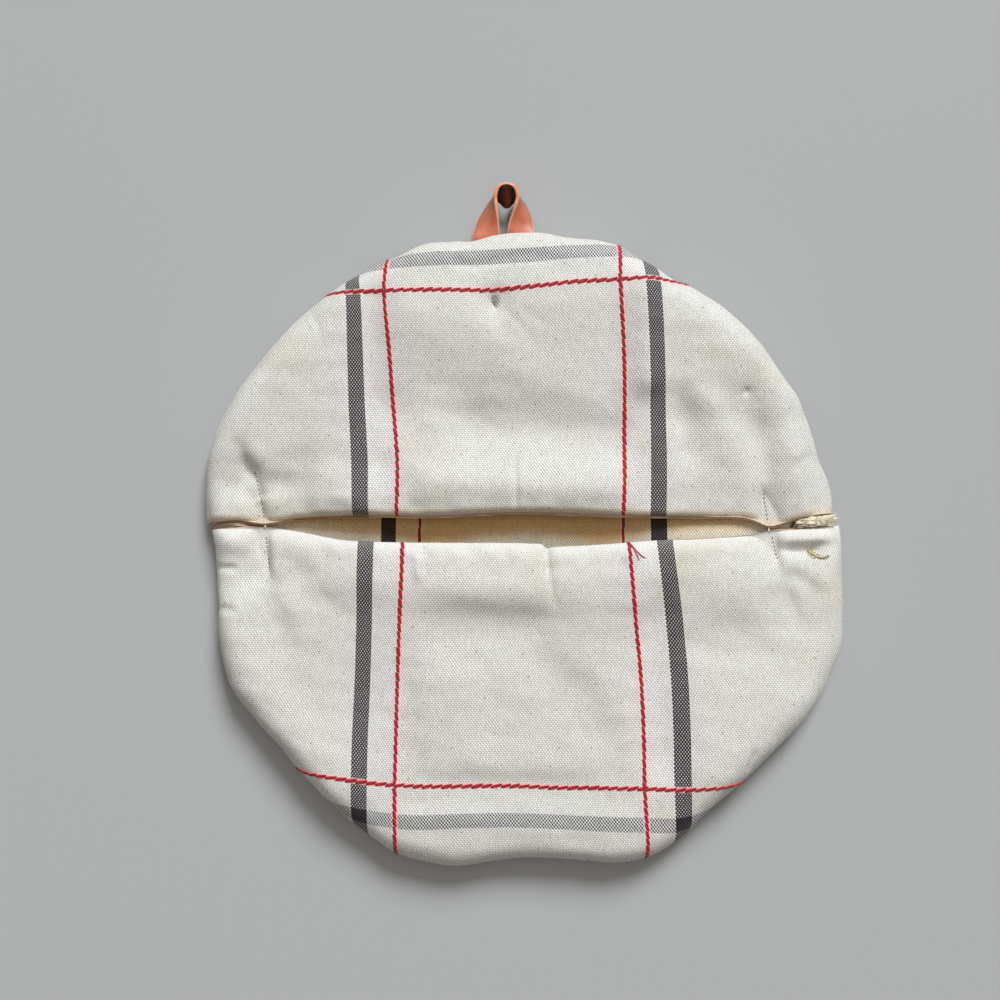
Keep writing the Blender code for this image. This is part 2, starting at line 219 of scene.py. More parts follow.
def back_faces(u, v, upper):
    across, along = np.sin(math.pi / 2 * u), np.sin(math.pi / 2 * (2 * v - 1))
    p, q = across * np.sqrt(1 - along**2 / 2), along * np.sqrt(1 - across**2 / 2)
    rim = back_rim(p, q) + uneven(p * ROUND_RADIUS, q * ROUND_RADIUS, *RIM_UNEVEN)
    x, y = p * rim, q * rim
    depth = rim * (1 - np.hypot(p, q))
    foot = (SEAM_HEIGHT - EDGE_THICKNESS) * (1 - rounded(depth, BACK_FOOT_ROUND))
    settled = rounded(depth, BACK_FOOT_ROUND) ** 2
    lifted = FOOT_LIFT * np.maximum(1 + uneven(x, y, *FOOT_UNEVEN), 0)
    foot = foot + lifted * settled * (1 - ease((depth - BACK_FOOT_ROUND) / FOOT_LIFT_REACH))
    top = np.maximum(back_top(x, y), foot + EDGE_THICKNESS) + uneven(x, y, *TOP_UNEVEN) * settled
    z = np.where(upper, top + slot_swell(x, y), foot)
    longer = 1 + over_the_edge(depth, BACK_FOOT_ROUND, SEAM_HEIGHT) / np.maximum(np.hypot(x, y), 1)
    warp_at = np.where(upper, across_cloth(x, y, BACK_RUN), across_cloth(x * longer, y, UNDERSIDE_RUN))
    # Painted warm shade on the upper face, from under the upper lip towards the lower lip
    shade_from = curve(SLOT_SHADE_EDGE, np.clip(x, SLOT_SHADE_EDGE[0][0], SLOT_SHADE_EDGE[-1][0])) - SLOT_SHADE_FADE / 2
    shade_from = shade_from + uneven(x, x * 0, *SLOT_SHADE_UNEVEN)
    return x, y, z, warp_at, y * longer, np.where(upper, ease((y - shade_from) / SLOT_SHADE_FADE), 0)


def link(tree, kind, settings=(), **inputs):
    """Adds a shader node and sets or joins its inputs, named by their socket or numbered as _0, _1."""
    added = tree.nodes.new(kind)
    for key, value in dict(settings).items():
        setattr(added, key, value)
    for key, value in inputs.items():
        socket = added.inputs[int(key[1:])] if key[0] == "_" else added.inputs[key.replace("_", " ")]
        if isinstance(value, bpy.types.NodeSocket):
            tree.links.new(value, socket)
        else:
            socket.default_value = value
    return added


def maths(tree, operation, first, second=0.0, third=0.0):
    return link(tree, "ShaderNodeMath", {"operation": operation}, _0=first, _1=second, _2=third).outputs[0]


def blended(tree, share, first, second, blend="MIX"):
    """One colour laid over another."""
    settings = {"data_type": "RGBA", "blend_type": blend}
    return link(tree, "ShaderNodeMix", settings, _0=share, _6=first, _7=second).outputs[2]


def ranged(tree, value, low, high, to_low, to_high, way="LINEAR"):
    """A value between low and high, spread between two others and held there."""
    settings = {"interpolation_type": way}
    spread = link(tree, "ShaderNodeMapRange", settings, _0=value, _1=low, _2=high, _3=to_low, _4=to_high)
    return spread.outputs[0]


def noise(tree, at, scale, detail, roughness=0.5):
    added = link(tree, "ShaderNodeTexNoise", Vector=at, Scale=scale, Detail=detail, Roughness=roughness)
    return added.outputs[0]


def new_finish(name):
    material = bpy.data.materials.new(name)
    material.use_nodes = True
    return material, material.node_tree


def complete(tree, colour, relief, strength, depth_mm, roughness, **settings):
    """Gives the shader its colour, its relief and its constant settings."""
    shader = tree.nodes["Principled BSDF"]
    bump = link(tree, "ShaderNodeBump", Strength=strength, Distance=depth_mm * MM, Height=relief)
    tree.links.new(colour, shader.inputs["Base Color"])
    tree.links.new(bump.outputs[0], shader.inputs["Normal"])
    shader.inputs["Roughness"].default_value = roughness
    for setting, value in settings.items():
        shader.inputs[setting.replace("_", " ")].default_value = value


CREAM, WHITER, CHARCOAL = (0.897, 0.895, 0.868, 1), (0.935, 0.935, 0.93, 1), (0.030, 0.022, 0.034, 1)
# What lies over these: grey where a cross stripe runs under the warp, stains, painted warm shade in the slot
# and on the upper lip, dark husks left in the yarn, painted light on the lower lip, and pink bled from the
# red yarn, which is partly painted light
GREYED, STAIN, PAINTED_WARM_SHADE = (0.30, 0.33, 0.42, 1), (0.80, 0.68, 0.42, 1), (0.99, 0.71, 0.40, 1)
HUSK, PAINTED_LIP_LIGHT, PINK_BLEED_AND_LIGHT = (0.30, 0.23, 0.16, 1), (0.99, 0.98, 0.93, 1), (1.0, 0.54, 0.54, 1)
GREY_SHOWS = 0.28  # how much of a cross stripe shows through the warp
WARP_PITCH, WEFT_PITCH, WANDER = 0.44, 0.62, 0.10
WARP_SHOWS = -0.24  # below this the weft is on top: the warp covers two thirds of the face
CHARCOAL_COVERS = 0.10  # how much more of the face the thicker charcoal threads cover
TWIST_LEAN = -0.2  # how far the yarn's twist favours one diagonal of the weave
WARP_UNEVEN, WEFT_UNEVEN = 0.15, 0.18  # how much darker and paler the yarn is along its way
# How dark the weave's holes and grooves are painted: painted shade between the threads
HOLE_SHADE, GROOVE_SHADE = 0.42, 0.70
WHITER_BANDS, WHITER_CROSS, WHITER_HALF = (-45.4, 37.2), (79.2, -84.5), 3.4


def check_cotton(name, cream, whiter, darkened, stained, bleed_and_light_share):
    """Plain-woven cotton, its threads drawn one by one, with charcoal stripes both ways. The three shares say
    how dark the weft is in a stripe, how soiled the cloth is, and how far the red has bled, its pink partly
    painted light."""
    material, tree = new_finish(name)
    cloth = link(tree, "ShaderNodeAttribute", {"attribute_name": "cloth"}).outputs["Vector"]
    warp_at, weft_at, painted_shade_and_light = link(tree, "ShaderNodeSeparateXYZ", _0=cloth).outputs

    def wandering(at, scale):
        """Threads that wander a little from their straight way."""
        off = ranged(tree, noise(tree, cloth, scale, 2.0), 0.25, 0.75, -WANDER, WANDER)
        return maths(tree, "ADD", at, off)

    warp_count = maths(tree, "MULTIPLY", wandering(warp_at, 0.43), 1 / WARP_PITCH)
    weft_count = maths(tree, "MULTIPLY", wandering(weft_at, 0.37), 1 / WEFT_PITCH)
    warp_turn, weft_turn = (maths(tree, "MULTIPLY", count, math.pi) for count in (warp_count, weft_count))
    weave = maths(tree, "MULTIPLY", maths(tree, "SINE", warp_turn), maths(tree, "SINE", weft_turn))
    leaning = maths(tree, "MULTIPLY", maths(tree, "COSINE", warp_turn), maths(tree, "COSINE", weft_turn))
    twisted = maths(tree, "MULTIPLY_ADD", leaning, TWIST_LEAN, weave)

    def striped(at, places, half):
        return maths(tree, "MAXIMUM", *[maths(tree, "COMPARE", at, place, half) for place in places])

    def near(at, places):
        """1 at these places, falling to 0 a millimetre away."""
        off = [maths(tree, "ABSOLUTE", maths(tree, "SUBTRACT", at, place)) for place in places]
        return ranged(tree, maths(tree, "MINIMUM", *off), 0.6, 1.25, 1.0, 0.0, "SMOOTHSTEP")

    def thread_tone(count, along, spread):
        """Threads that are thick and thin along their way, each in its own places."""
        own = maths(tree, "MULTIPLY", maths(tree, "FLOOR", count), 3.7)
        spot = link(tree, "ShaderNodeCombineXYZ", _0=own, _1=maths(tree, "MULTIPLY", along, 0.35)).outputs[0]
        return ranged(tree, noise(tree, spot, 1.0, 3.0, 0.7), 0.3, 0.7, 1 - spread, 1 + spread)

    in_charcoal = striped(warp_at, CHARCOAL_STRIPES, STRIPE_HALF)
    in_cross = striped(weft_at, CROSS_STRIPES, CROSS_STRIPE_HALF)
    covering = maths(tree, "MULTIPLY_ADD", in_charcoal, CHARCOAL_COVERS, weave)
    warp_up = ranged(tree, covering, WARP_SHOWS - 0.12, WARP_SHOWS + 0.12, 0.0, 1.0, "SMOOTHSTEP")
    warp = blended(tree, striped(warp_at, WHITER_BANDS, WHITER_HALF), cream, whiter)
    warp = blended(tree, maths(tree, "MULTIPLY", in_cross, GREY_SHOWS), warp, GREYED)
    warp = blended(tree, in_charcoal, warp, CHARCOAL)
    weft = blended(tree, striped(weft_at, WHITER_CROSS, WHITER_HALF), cream, whiter)
    weft = blended(tree, in_cross, weft, CHARCOAL)
    weft = blended(tree, maths(tree, "MULTIPLY", in_charcoal, darkened), weft, CHARCOAL)
    warp = blended(tree, 1.0, warp, thread_tone(warp_count, weft_at, WARP_UNEVEN), "MULTIPLY")
    weft = blended(tree, 1.0, weft, thread_tone(weft_count, warp_at, WEFT_UNEVEN), "MULTIPLY")
    colour = blended(tree, warp_up, weft, warp)
    soiled = ranged(tree, noise(tree, cloth, 0.03, 4.0, 0.6), 0.56, 0.85, 0.0, stained)
    colour = blended(tree, soiled, colour, STAIN, "MULTIPLY")
    # Painted warm shade: in the slot under the upper lip, and where the upper lip rolls under
    colour = blended(tree, painted_shade_and_light, colour, PAINTED_WARM_SHADE, "MULTIPLY")
    husks = link(tree, "ShaderNodeTexVoronoi", {"voronoi_dimensions": "2D"}, Vector=cloth, Scale=0.1)
    colour = blended(tree, ranged(tree, husks.outputs[0], 0.018, 0.03, 0.7, 0.0), colour, HUSK)
    over = maths(tree, "SUBTRACT", twisted, WARP_SHOWS)
    warp_raised = maths(tree, "MULTIPLY", over, 1 / (1 - WARP_SHOWS))
    raised = maths(tree, "MAXIMUM", warp_raised, maths(tree, "MULTIPLY", over, -1 / (1 + WARP_SHOWS)))
    # Painted shade in the holes and grooves between the threads
    colour = blended(tree, 1.0, colour, ranged(tree, raised, 0.0, 0.5, HOLE_SHADE, 1.0), "MULTIPLY")
    colour = blended(tree, 1.0, colour, ranged(tree, twisted, -0.9, 0.6, GROOVE_SHADE, 1.0), "MULTIPLY")
    # The red bleeds into the two faces, not into the rim's side. Its pink goes on over the weave's painted
    # shade, so it is partly painted light that lifts the yarn's shadow beside the lines
    bleed_and_light = maths(tree, "MAXIMUM", near(warp_at, RED_LINES), near(weft_at, CROSS_RED))
    normal = link(tree, "ShaderNodeNewGeometry").outputs["Normal"]
    level = link(tree, "ShaderNodeSeparateXYZ", _0=normal).outputs[2]
    face_on = ranged(tree, maths(tree, "ABSOLUTE", level), 0.1, 0.4, 0.0, bleed_and_light_share)
    colour = blended(tree, maths(tree, "MULTIPLY", bleed_and_light, face_on), colour, PINK_BLEED_AND_LIGHT)
    # Painted light on the lower lip: a negative share whitens the cloth there, less on the charcoal
    lip_light = maths(tree, "MULTIPLY", painted_shade_and_light, ranged(tree, in_charcoal, 0.0, 1.0, -1.0, -0.15))
    colour = blended(tree, lip_light, colour, PAINTED_LIP_LIGHT, "SCREEN")
    complete(
        tree, colour, raised, 0.6, 0.12, 0.92, Sheen_Weight=0.15, Sheen_Roughness=0.5, Specular_IOR_Level=0.25
    )
    return material


# Painted warm shade: the pockets' cloth tinted yellower for the slot, its stripes' weft darkened for the
# slot's shade
BACK_CREAM_WARM_SHADE, BACK_WHITER_WARM_SHADE = (0.89, 0.85, 0.73, 1), (0.92, 0.88, 0.77, 1)
back = slab("round_back", 150, 150, back_faces)
back.data.materials.append(check_cotton("back_check_cotton", BACK_CREAM_WARM_SHADE, BACK_WHITER_WARM_SHADE, 0.86, 0.5, 0.25))
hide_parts("back_pad")
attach(back, "root")

# ---- The two pockets ----
# Half-round pads of the same cotton and wadding. Each is sewn to the back round the rim and open along the
# slot. One stitch near each end of the slot goes through everything and pulls creases into both pockets.

# Where each pocket's mouth lies along the slot, in mm: x, y
UPPER_MOUTH = (
    (-100, 0.7), (-97, 1.5), (-89, 2.2), (-81, 1.2), (-70, 2.9), (-53, 3.8), (-30, 3.6), (-2, 4.7), (30, 3.8),
    (55, 3.3), (67, 3.1), (71, 2.2), (76, 0.4), (83, 2.2), (90, 3.9), (97, 4.4),
)
LOWER_MOUTH = (
    (-99, -0.6), (-89, -0.3), (-81, 0.1), (-70, -1.3), (-56, -3.85), (-39, -4.5), (-8, -4.65), (2.5, -4.8),
    (5.2, -4.95), (6.8, -5.85), (10, -5.8), (24, -5.1), (39, -4.05), (55, -3.45), (63, -2.9), (70, -2.2),
    (76, -1.1), (85, -0.6), (92, 0.0), (99, 0.8),
)
LEFT_TACK_X, RIGHT_TACK_X = -81.0, 76.0
POCKET_THICKNESS, POCKET_RIM_ROUND = 4.2, 7.0
# By pocket, 1 for the upper and -1 for the lower: how far in the mouth's edge is rounded, how much warm shade
# is painted on it, or less than 0 how much light is painted on it, and how far in
MOUTH_ROUND, LIP_PAINTED_SHADE_AND_LIGHT, LIP_PAINT_REACH = {1: 2.3, -1: 4.6}, {1: 0.48, -1: -0.27}, {1: 2.2, -1: 4.5}
MOUTH_UNDER_SHARE, MOUTH_FLATTENS = 0.22, 0.6
HAND_ROOM, RIM_SLACK, RIM_SLACK_REACH, RIM_SLACK_FROM = 5.0, 0.4, 9.0, 0.5
FACING_THICKNESS, FACING_GAP, FACING_DEPTH, FACING_FADE, FACING_FROM_RIM = 0.7, 0.5, 9.0, 9.0, 4.0
FACING_ROOM = FACING_THICKNESS + FACING_GAP + 0.3
FACING_SUNK = 0.8  # how much of the facing's thickness the wadding over it takes up
TACK_PULL, TACK_PULL_REACH = 1.6, 7.0
PUFF, PUFF_ROUND, PUFF_REACH, PUFF_FROM_MOUTH = 2.2, 12.0, 80.0, 25.0
# Unevenness of the wadding and of the cloth: height, size, seed, how x and y are stretched, how it leans
POCKET_UNEVEN = (
    (0.16, 26, 1, 1.0, 1.0, 0.0), (0.08, 8, 2, 0.6, 1.0, 0.15),
    (0.018, 4.2, 9, 0.6, 1.0, 0.3), (0.02, 2.3, 12, 1.0, 0.7, 0.0),
)
LIP_UNEVEN, LIP_REACH, OUTLINE_UNEVEN = (0.3, 7, 4), 2.5, (0.22, 13, 3)

# x, share of the full room for a hand
HAND_SHARE = (
    (LEFT_TACK_X, 0), (-70, 0.2), (-58, 0.57), (-45, 0.82), (-30, 0.96), (-10, 1.0), (15, 0.97), (30, 0.82),
    (40, 0.62), (50, 0.44), (60, 0.28), (70, 0.12), (RIGHT_TACK_X, 0),
)
# Lines sewn down into the cloth: from x, y to x, y, how far to the sides it is drawn in, how deep
DARTS = (
    (-80.6, -3.0, -82.3, 12.5, 1.6, 2.3),
    (-82.0, 8.0, -84.9, 20.5, 1.8, 2.3),
    (-81.4, 3.0, -78.8, -17.5, 1.7, 2.6),
    (76.3, -2.5, 73.6, 14.0, 1.6, 2.4),
    (75.6, 3.0, 79.4, -14.0, 1.5, 2.8),
    (6.3, -1.5, 6.9, -16.0, 1.1, 2.3),
    (6.4, -10.0, 9.6, -27.0, 1.5, 1.1),
)
# Broad rolls and troughs, in mm: from x, y to x, y, half width, height
FOLDS = (
    # upper pocket, from its rim down to its mouth
    (-38, 68, -16, 66, 11, 1.24),
    (4, 72, 26, 72, 12, 1.7),
    (-36, 37, -18, 34, 9, -1.47),
    (-14, 31, 27, 29, 8, -2.6),
    (-28, 13, 24, 12, 7, 2.5),
    (-9.5, 69, -9.5, 69, 5.0, -2.1),
    (-86, 19.5, -85, 18, 3.2, -1.4),
    (38, 46, 38, 76, 5, 2.7),
    (48, 40, 50, 24, 5, -1.85),
    (-42, 40, -34, 28, 6, -0.5),
    (-90, 42, -78, 56, 8, 0.9),
    (62, 70, 50, 80, 7, -1.6),
    (52, 66, 74, 48, 12, 1.23),
    (56, 41, 71, 6, 5, 0.5),
    (70, 41, 76.5, 5, 4, -1.14),
    (84, 34, 88, 8, 6, 1.04),
    (-82, 15, -70, 17, 7, -1.8),
    (-95, 7, -88, 5, 5, 0.5),
    (-62, 12, -52, 10, 8, 2.25),
    (-48, 70, -46, 20, 6, -1.6),
    (8, 52, 20, 46, 7, -0.6),
    (66, 6, 74, 24, 12, -1.1),
    (90, 34, 93, 8, 7, -3.2),
    (60, 42, 72, 30, 6, -1.27),
    (76, 48, 82, 36, 7, -1.27),
    (-90, 36, -78, 22, 7, 0.26),
    (-86, 56, -72, 68, 9, -1.7),
    (-92, 14, -76, 11, 5, -0.85),
    (28, 40, 44, 34, 5, -0.5),
    (-42, 34, -30, 24, 6, -0.55),
    (-30, 52, -18, 48, 6, 0.37),
    (-36, 84.5, 22, 85.5, 5, 0.45),
    # lower pocket, from its mouth down to its rim
    (-36, -89.5, 30, -90, 4, 0.5),
    (-36, -19, 34, -20, 9, 1.65),
    (-26, -33, 4, -35, 8, -0.8),
    (-60, -14, -48, -17, 7, 0.7),
    (56, -15, 70, -17, 8, 0.8),
    (54, -36, 70, -37, 7, -0.9),
    (-92, -18, -84, -17, 5, -1.7),
    (84, -34, 80, -50, 8, 0.3),
    (40, -30, 42, -70, 7, -1.66),
    (-50, -24, -50, -56, 6, -0.6),
    (-90, -34, -84, -48, 7, 0.7),
    (-20, -50, -16, -68, 8, 0.7),
    (-92, -8, -76, -12, 5, -0.37),
    (-30, -26, 10, -28, 5, -0.35),
    (78, -24, 90, -30, 7, -0.7),
    (80, -6, 94, -4, 4, -0.37),
    (34, -10, 42, -14, 5, 0.77),
    (-66, -100, 36, -101, 7, 0.6),
    (-34, -91, 28, -91.5, 7, 0.25),
    (-74, -66, -58, -80, 13, 2.2),
    (62, -76, 80, -58, 13, 2.4),
    (-98, -30, -96, -52, 9, 0.7),
    (97, -28, 93, -48, 9, -0.14),
)
# Short, narrow folds that fade out at both ends
FINE_FOLDS = (
    (-9.9, 71.4, -9.0, 66.8, 0.8, -3.6),
    (-9, 69.5, 3, 57.5, 1.3, -0.3),
    (-3, 68.5, 8, 61, 1.6, -0.2),
    (-10, 68, -5, 56, 1.8, -0.15),
    (67.5, 43.2, 69.2, 40.8, 1.2, -0.7),
    (-3.2, 23, -2.8, 3, 0.8, -0.9),
    (-67, 69, -62, 57, 1.0, -0.3),
    (-52, 77, -50, 69, 1.3, 0.2),
    (-33.5, -6, -32.5, -18, 1.4, 0.86),
    (68, -77, 71, -67, 1.1, -0.7),
    (-84, 14, -90, 29, 2.6, -1.03),
    (-85, -26, -80, -16, 2.0, 0.4),
    (78, -7.6, 93, -7.4, 1.4, -1.6),
    (-58, 24, -45, 20, 2.0, 0.24),
    (-100, -13, -88, -12.6, 1.2, -1.1),
    (-100, -25, -88, -25.6, 1.2, -1.1),
)
# Sharp turns of the cloth, in mm: from x, y to x, y, half width, how far it is felt, and how much lower the
# cloth lies on the right-hand side of that way
CREASES = (
    # upper pocket
    (-80.5, -2, -87.5, 27, 1.2, 8.0, -2.8),
    (31, 42, 31, 79, 3.0, 8.0, -1.15),
    (-50, 62, 28, 35, 7.0, 16.0, 2.6),
    (42, 41, 64, 33, 4.0, 10.0, 2.36),
    (-82, 17.2, -62, 16, 1.2, 4.0, 0.35),
    (-99, 15.5, -64, 15.0, 2.0, 6.0, 0.7),
    (81, 19.5, 92, 25, 1.2, 4.0, 0.6),
    (-70, 11, -44, 9.5, 1.8, 5.0, -0.66),
    # lower pocket
    (-81, 2, -78.4, -19, 1.2, 8.0, 3.26),
    (75.6, 3.0, 80.2, -17, 1.2, 7.0, 1.9),
    (75.5, -5.0, 99, -4.6, 1.4, 5.0, 2.65),
    (79.5, -10, 96, -21.5, 1.5, 5.0, 1.0),
    (80.5, -15, 87.5, -32, 1.8, 5.0, 1.0),
    (-33, -22.5, 14, -26.6, 3.2, 10.0, 1.8),
    (50, -24, 76, -28, 4.0, 10.0, 1.2),
    (-78.8, -16, -68.5, -41, 3.4, 8.0, 1.8),
    (-78, -6, -62, -14, 3.0, 8.0, 1.4),
    (-66, -16, -48, -29, 2.0, 7.0, 0.74),
    (-99, -7, -82, -7.6, 2.5, 8.0, 2.3),
    (1, -33, 23, -50, 4.0, 11.0, 1.5),
    (17, -42, 30, -68, 4.0, 11.0, 1.56),
    (29.5, -58, 28.4, -82, 4.0, 10.0, 1.04),
    (-34.5, -34, -31.5, -80, 4.0, 11.0, 1.7),
    (-36, -75.5, 30, -76.3, 3.4, 8.0, 1.5),
)
# The check as it lies on each pocket, in mm
UPPER_RUN = (
    (5, -50.6, -39.5, 30.1, 41.0), (20, -51.0, -39.3, 30.5, 41.1), (38, -51.9, -40.8, 30.6, 40.8),
    (55, -52.4, -41.9, 30.3, 40.3), (72, -53.0, -43.5, 29.4, 39.4), (78, -54.3, -43.3, 29.2, 39.1),
    (88, -56.7, -42.7, 29.4, 38.9),
)
LOWER_RUN = (
    (-98, -51.4, -40.2, 37.9, 49.4), (-80, -51.1, -40.2, 36.8, 48.7), (-64, -50.8, -39.8, 36.5, 48.5),
    (-46, -50.0, -39.3, 35.6, 47.7), (-28, -49.5, -38.6, 33.9, 46.1), (-14, -49.3, -37.9, 32.6, 44.2),
    (-5, -49.1, -37.7, 31.9, 43.1),
)
# x, then y of the red line and the grey stripe
UPPER_CROSS = (
    (-61, 72.6, 80.6), (-54, 72.9, 81.2), (-43, 73.0, 82.0), (-27, 73.1, 83.0), (-12, 73.0, 83.4),
    (2, 74.0, 84.0), (15, 75.5, 85.1), (29, 76.3, 85.8), (40, 76.8, 85.9), (52, 75.7, 85.0),
)
LOWER_CROSS = (
    (-72, -75.3, -84.5), (-60, -76.6, -87.0), (-45, -78.7, -89.8), (-32, -79.5, -90.7), (-20, -79.5, -90.1),
    (-4, -79.4, -89.9), (10, -80.0, -90.4), (20, -80.0, -91.0), (37, -80.4, -91.7), (48, -80.8, -91.8),
    (59, -80.1, -89.0), (70, -79.1, -87.0),
)


def beside(x, y, x0, y0, x1, y1):
    """How far along a way each point lies, as a share of it, and how far to its right, in mm."""
    long = math.hypot(x1 - x0, y1 - y0)
    along = ((x - x0) * (x1 - x0) + (y - y0) * (y1 - y0)) / long**2
    return along, ((x - x0) * (y1 - y0) - (y - y0) * (x1 - x0)) / long


def fold_height(x, y):
    height = 0.0
    for narrow, folds in ((False, FOLDS), (True, FINE_FOLDS)):
        for x0, y0, x1, y1, half_width, rise in folds:
            long = max((x1 - x0) ** 2 + (y1 - y0) ** 2, 1e-6)
            along = np.clip(((x - x0) * (x1 - x0) + (y - y0) * (y1 - y0)) / long, 0, 1)
            off = np.hypot(x - x0 - along * (x1 - x0), y - y0 - along * (y1 - y0))
            fading = ease(along * 3) * ease((1 - along) * 3) if narrow else 1
            height = height + rise * fading * np.exp(-((off / half_width) ** 2))
    for *way, drawn_in, depth in DARTS:
        along, off = beside(x, y, *way)
        height = height - depth * ease(along * 5) * ease((1 - along) * 2.5) * np.exp(-abs(off) / drawn_in)
    for *way, half_width, felt, drop in CREASES:
        along, off = beside(x, y, *way)
        fading = ease(along * 3) * ease((1 - along) * 3)
        height = height - drop / 2 * fading * np.tanh(off / half_width) * np.exp(-((off / felt) ** 2))
    for tack_x in (LEFT_TACK_X, RIGHT_TACK_X):
        height = height - TACK_PULL * np.exp(-((x - tack_x) ** 2 + y * y) / TACK_PULL_REACH**2)
    return height


def pocket_rim(side, angle):
    return curve(UPPER_RIM if side > 0 else LOWER_RIM, angle)


def pocket_mouth(side, x):
    return curve(UPPER_MOUTH if side > 0 else LOWER_MOUTH, x)


def facing_room(from_rim, from_mouth):
    deep = ease((from_mouth - FACING_DEPTH - 1) / FACING_FADE)
    return FACING_ROOM * (1 - deep) * ease(from_rim / FACING_FROM_RIM)


def hollow(x, from_rim, from_mouth):
    open_share = np.maximum(from_rim, 0) / np.maximum(from_rim + np.maximum(from_mouth, 0), 1e-6)
    tunnel = curve(HAND_SHARE, np.clip(x, LEFT_TACK_X, RIGHT_TACK_X))
    hand = HAND_ROOM * tunnel * np.sin(math.pi / 2 * open_share)
    slack = RIM_SLACK * (1 - ease(from_rim / RIM_SLACK_REACH)) * ease(from_rim / RIM_SLACK_FROM)
    return hand + facing_room(from_rim, from_mouth) + slack


def pocket_heights(side, x, y, from_rim):
    """The heights of a pocket's underside and of its upper face."""
    from_mouth = side * (y - pocket_mouth(side, x))
    inside = rounded(from_rim, POCKET_RIM_ROUND)
    full = POCKET_THICKNESS * inside
    at_mouth = 1 - rounded(from_mouth, MOUTH_ROUND[side])
    base = back_top(x, y) + PIECE_GAP + hollow(x, from_rim, from_mouth)
    over_loop = LOOP_ROOT_HEIGHT + LOOP_THICKNESS / 2 + LOOP_ROOM_GAP
    base = base + np.maximum(over_loop - base, 0) * loop_room(x, y)
    under = base + full * MOUTH_UNDER_SHARE * at_mouth
    upper = base + full * (1 - (1 - MOUTH_UNDER_SHARE) * at_mouth)
    upper = upper - FACING_SUNK * facing_room(from_rim, from_mouth) * (1 - at_mouth)
    puffed = rounded(from_rim, PUFF_ROUND) * (1 - ease(from_rim / PUFF_REACH))
    upper = upper + PUFF * puffed * ease(from_mouth / PUFF_FROM_MOUTH)
    upper = upper + fold_height(x, y) * inside * (1 - MOUTH_FLATTENS * at_mouth)
    for height, size, seed, wide, long, lean in POCKET_UNEVEN:
        upper = upper + uneven(x * wide, y * long + x * lean, height, size, seed) * inside
    at_lip = np.exp(-(((from_mouth - LIP_REACH) / LIP_REACH) ** 2))
    upper = upper + uneven(x, y * 0.4, *LIP_UNEVEN) * at_lip * inside
    return under, np.maximum(upper, under + EDGE_THICKNESS)


def pocket_faces(side):
    def faces(u, v, is_upper):
        across, inward = 0.35 * np.sin(math.pi / 2 * u) + 0.65 * u, (1 - np.cos(math.pi * v)) / 2
        p, q = across * np.sqrt(1 - inward**2 / 2), inward * np.sqrt(1 - across**2 / 2)
        angle = np.degrees(np.arctan2(q, p))
        rim = pocket_rim(side, angle if side > 0 else 360 - angle)
        rim = rim + uneven(p * ROUND_RADIUS, side * q * ROUND_RADIUS, *OUTLINE_UNEVEN)
        x = p * rim
        y = side * q * rim + pocket_mouth(side, x) * (1 - inward) ** 2
        from_rim, from_mouth = rim * (1 - np.hypot(p, q)), side * (y - pocket_mouth(side, x))
        under, upper = pocket_heights(side, x, y, from_rim)
        at_edge = over_the_edge(from_rim, POCKET_RIM_ROUND, POCKET_THICKNESS)
        longer = 1 + at_edge / np.maximum(np.hypot(x, y), 1)
        lip = over_the_edge(from_mouth, MOUTH_ROUND[side], POCKET_THICKNESS)
        run, cross, which = (UPPER_RUN, UPPER_CROSS, 0) if side > 0 else (LOWER_RUN, LOWER_CROSS, 1)
        warp_at = across_cloth(x * longer, y, run)
        red, grey = curve(cross, x, 1), curve(cross, x, 2)
        red_moved, grey_moved = red - CROSS_RED[which], grey - CROSS_STRIPES[which]
        moved = red_moved + (grey_moved - red_moved) * np.clip((y - red) / (grey - red), 0, 1)
        # Painted warm shade on the upper pocket's lip, painted light on the lower pocket's lip
        painted_shade_and_light = np.where(is_upper, LIP_PAINTED_SHADE_AND_LIGHT[side] * np.exp(-((from_mouth / LIP_PAINT_REACH[side]) ** 2)), 0)
        return x, y, np.where(is_upper, upper, under), warp_at, y * longer - side * lip - moved, painted_shade_and_light

    return faces


pocket_cotton = check_cotton("pocket_check_cotton", CREAM, WHITER, 0.16, 0.5, 0.76)
pockets = {}
for name, side, node in (("upper_hand_pocket", 1, "upper_pocket"), ("lower_hand_pocket", -1, "lower_pocket")):
    pocket = slab(name, 330, 140, pocket_faces(side))
    pocket.data.materials.append(pocket_cotton)
    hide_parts(node)
    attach(pocket, "root")
    pockets[side] = pocket

# ---- The facings ----
# Each pocket's mouth is turned in and its cut edge sewn flat behind the lip. The upper one shows as a thin
# tan line along the slot; the lower one only at the slot's left end. Their cream lining is coloured tan and
# brown as painted shade.

# x from and to, how far past the lip it shows at the middle and at the ends, in mm
FACING_SPANS = {1: (-97.5, 94.5, 0.7, 0.6), -1: (-97.0, 94.5, -0.5, 0.3)}
FACING_EDGE_UNEVEN, FACING_UNEVEN, FACING_EDGE_ROUND = (0.12, 9, 21), (0.12, 7, 22), 0.35


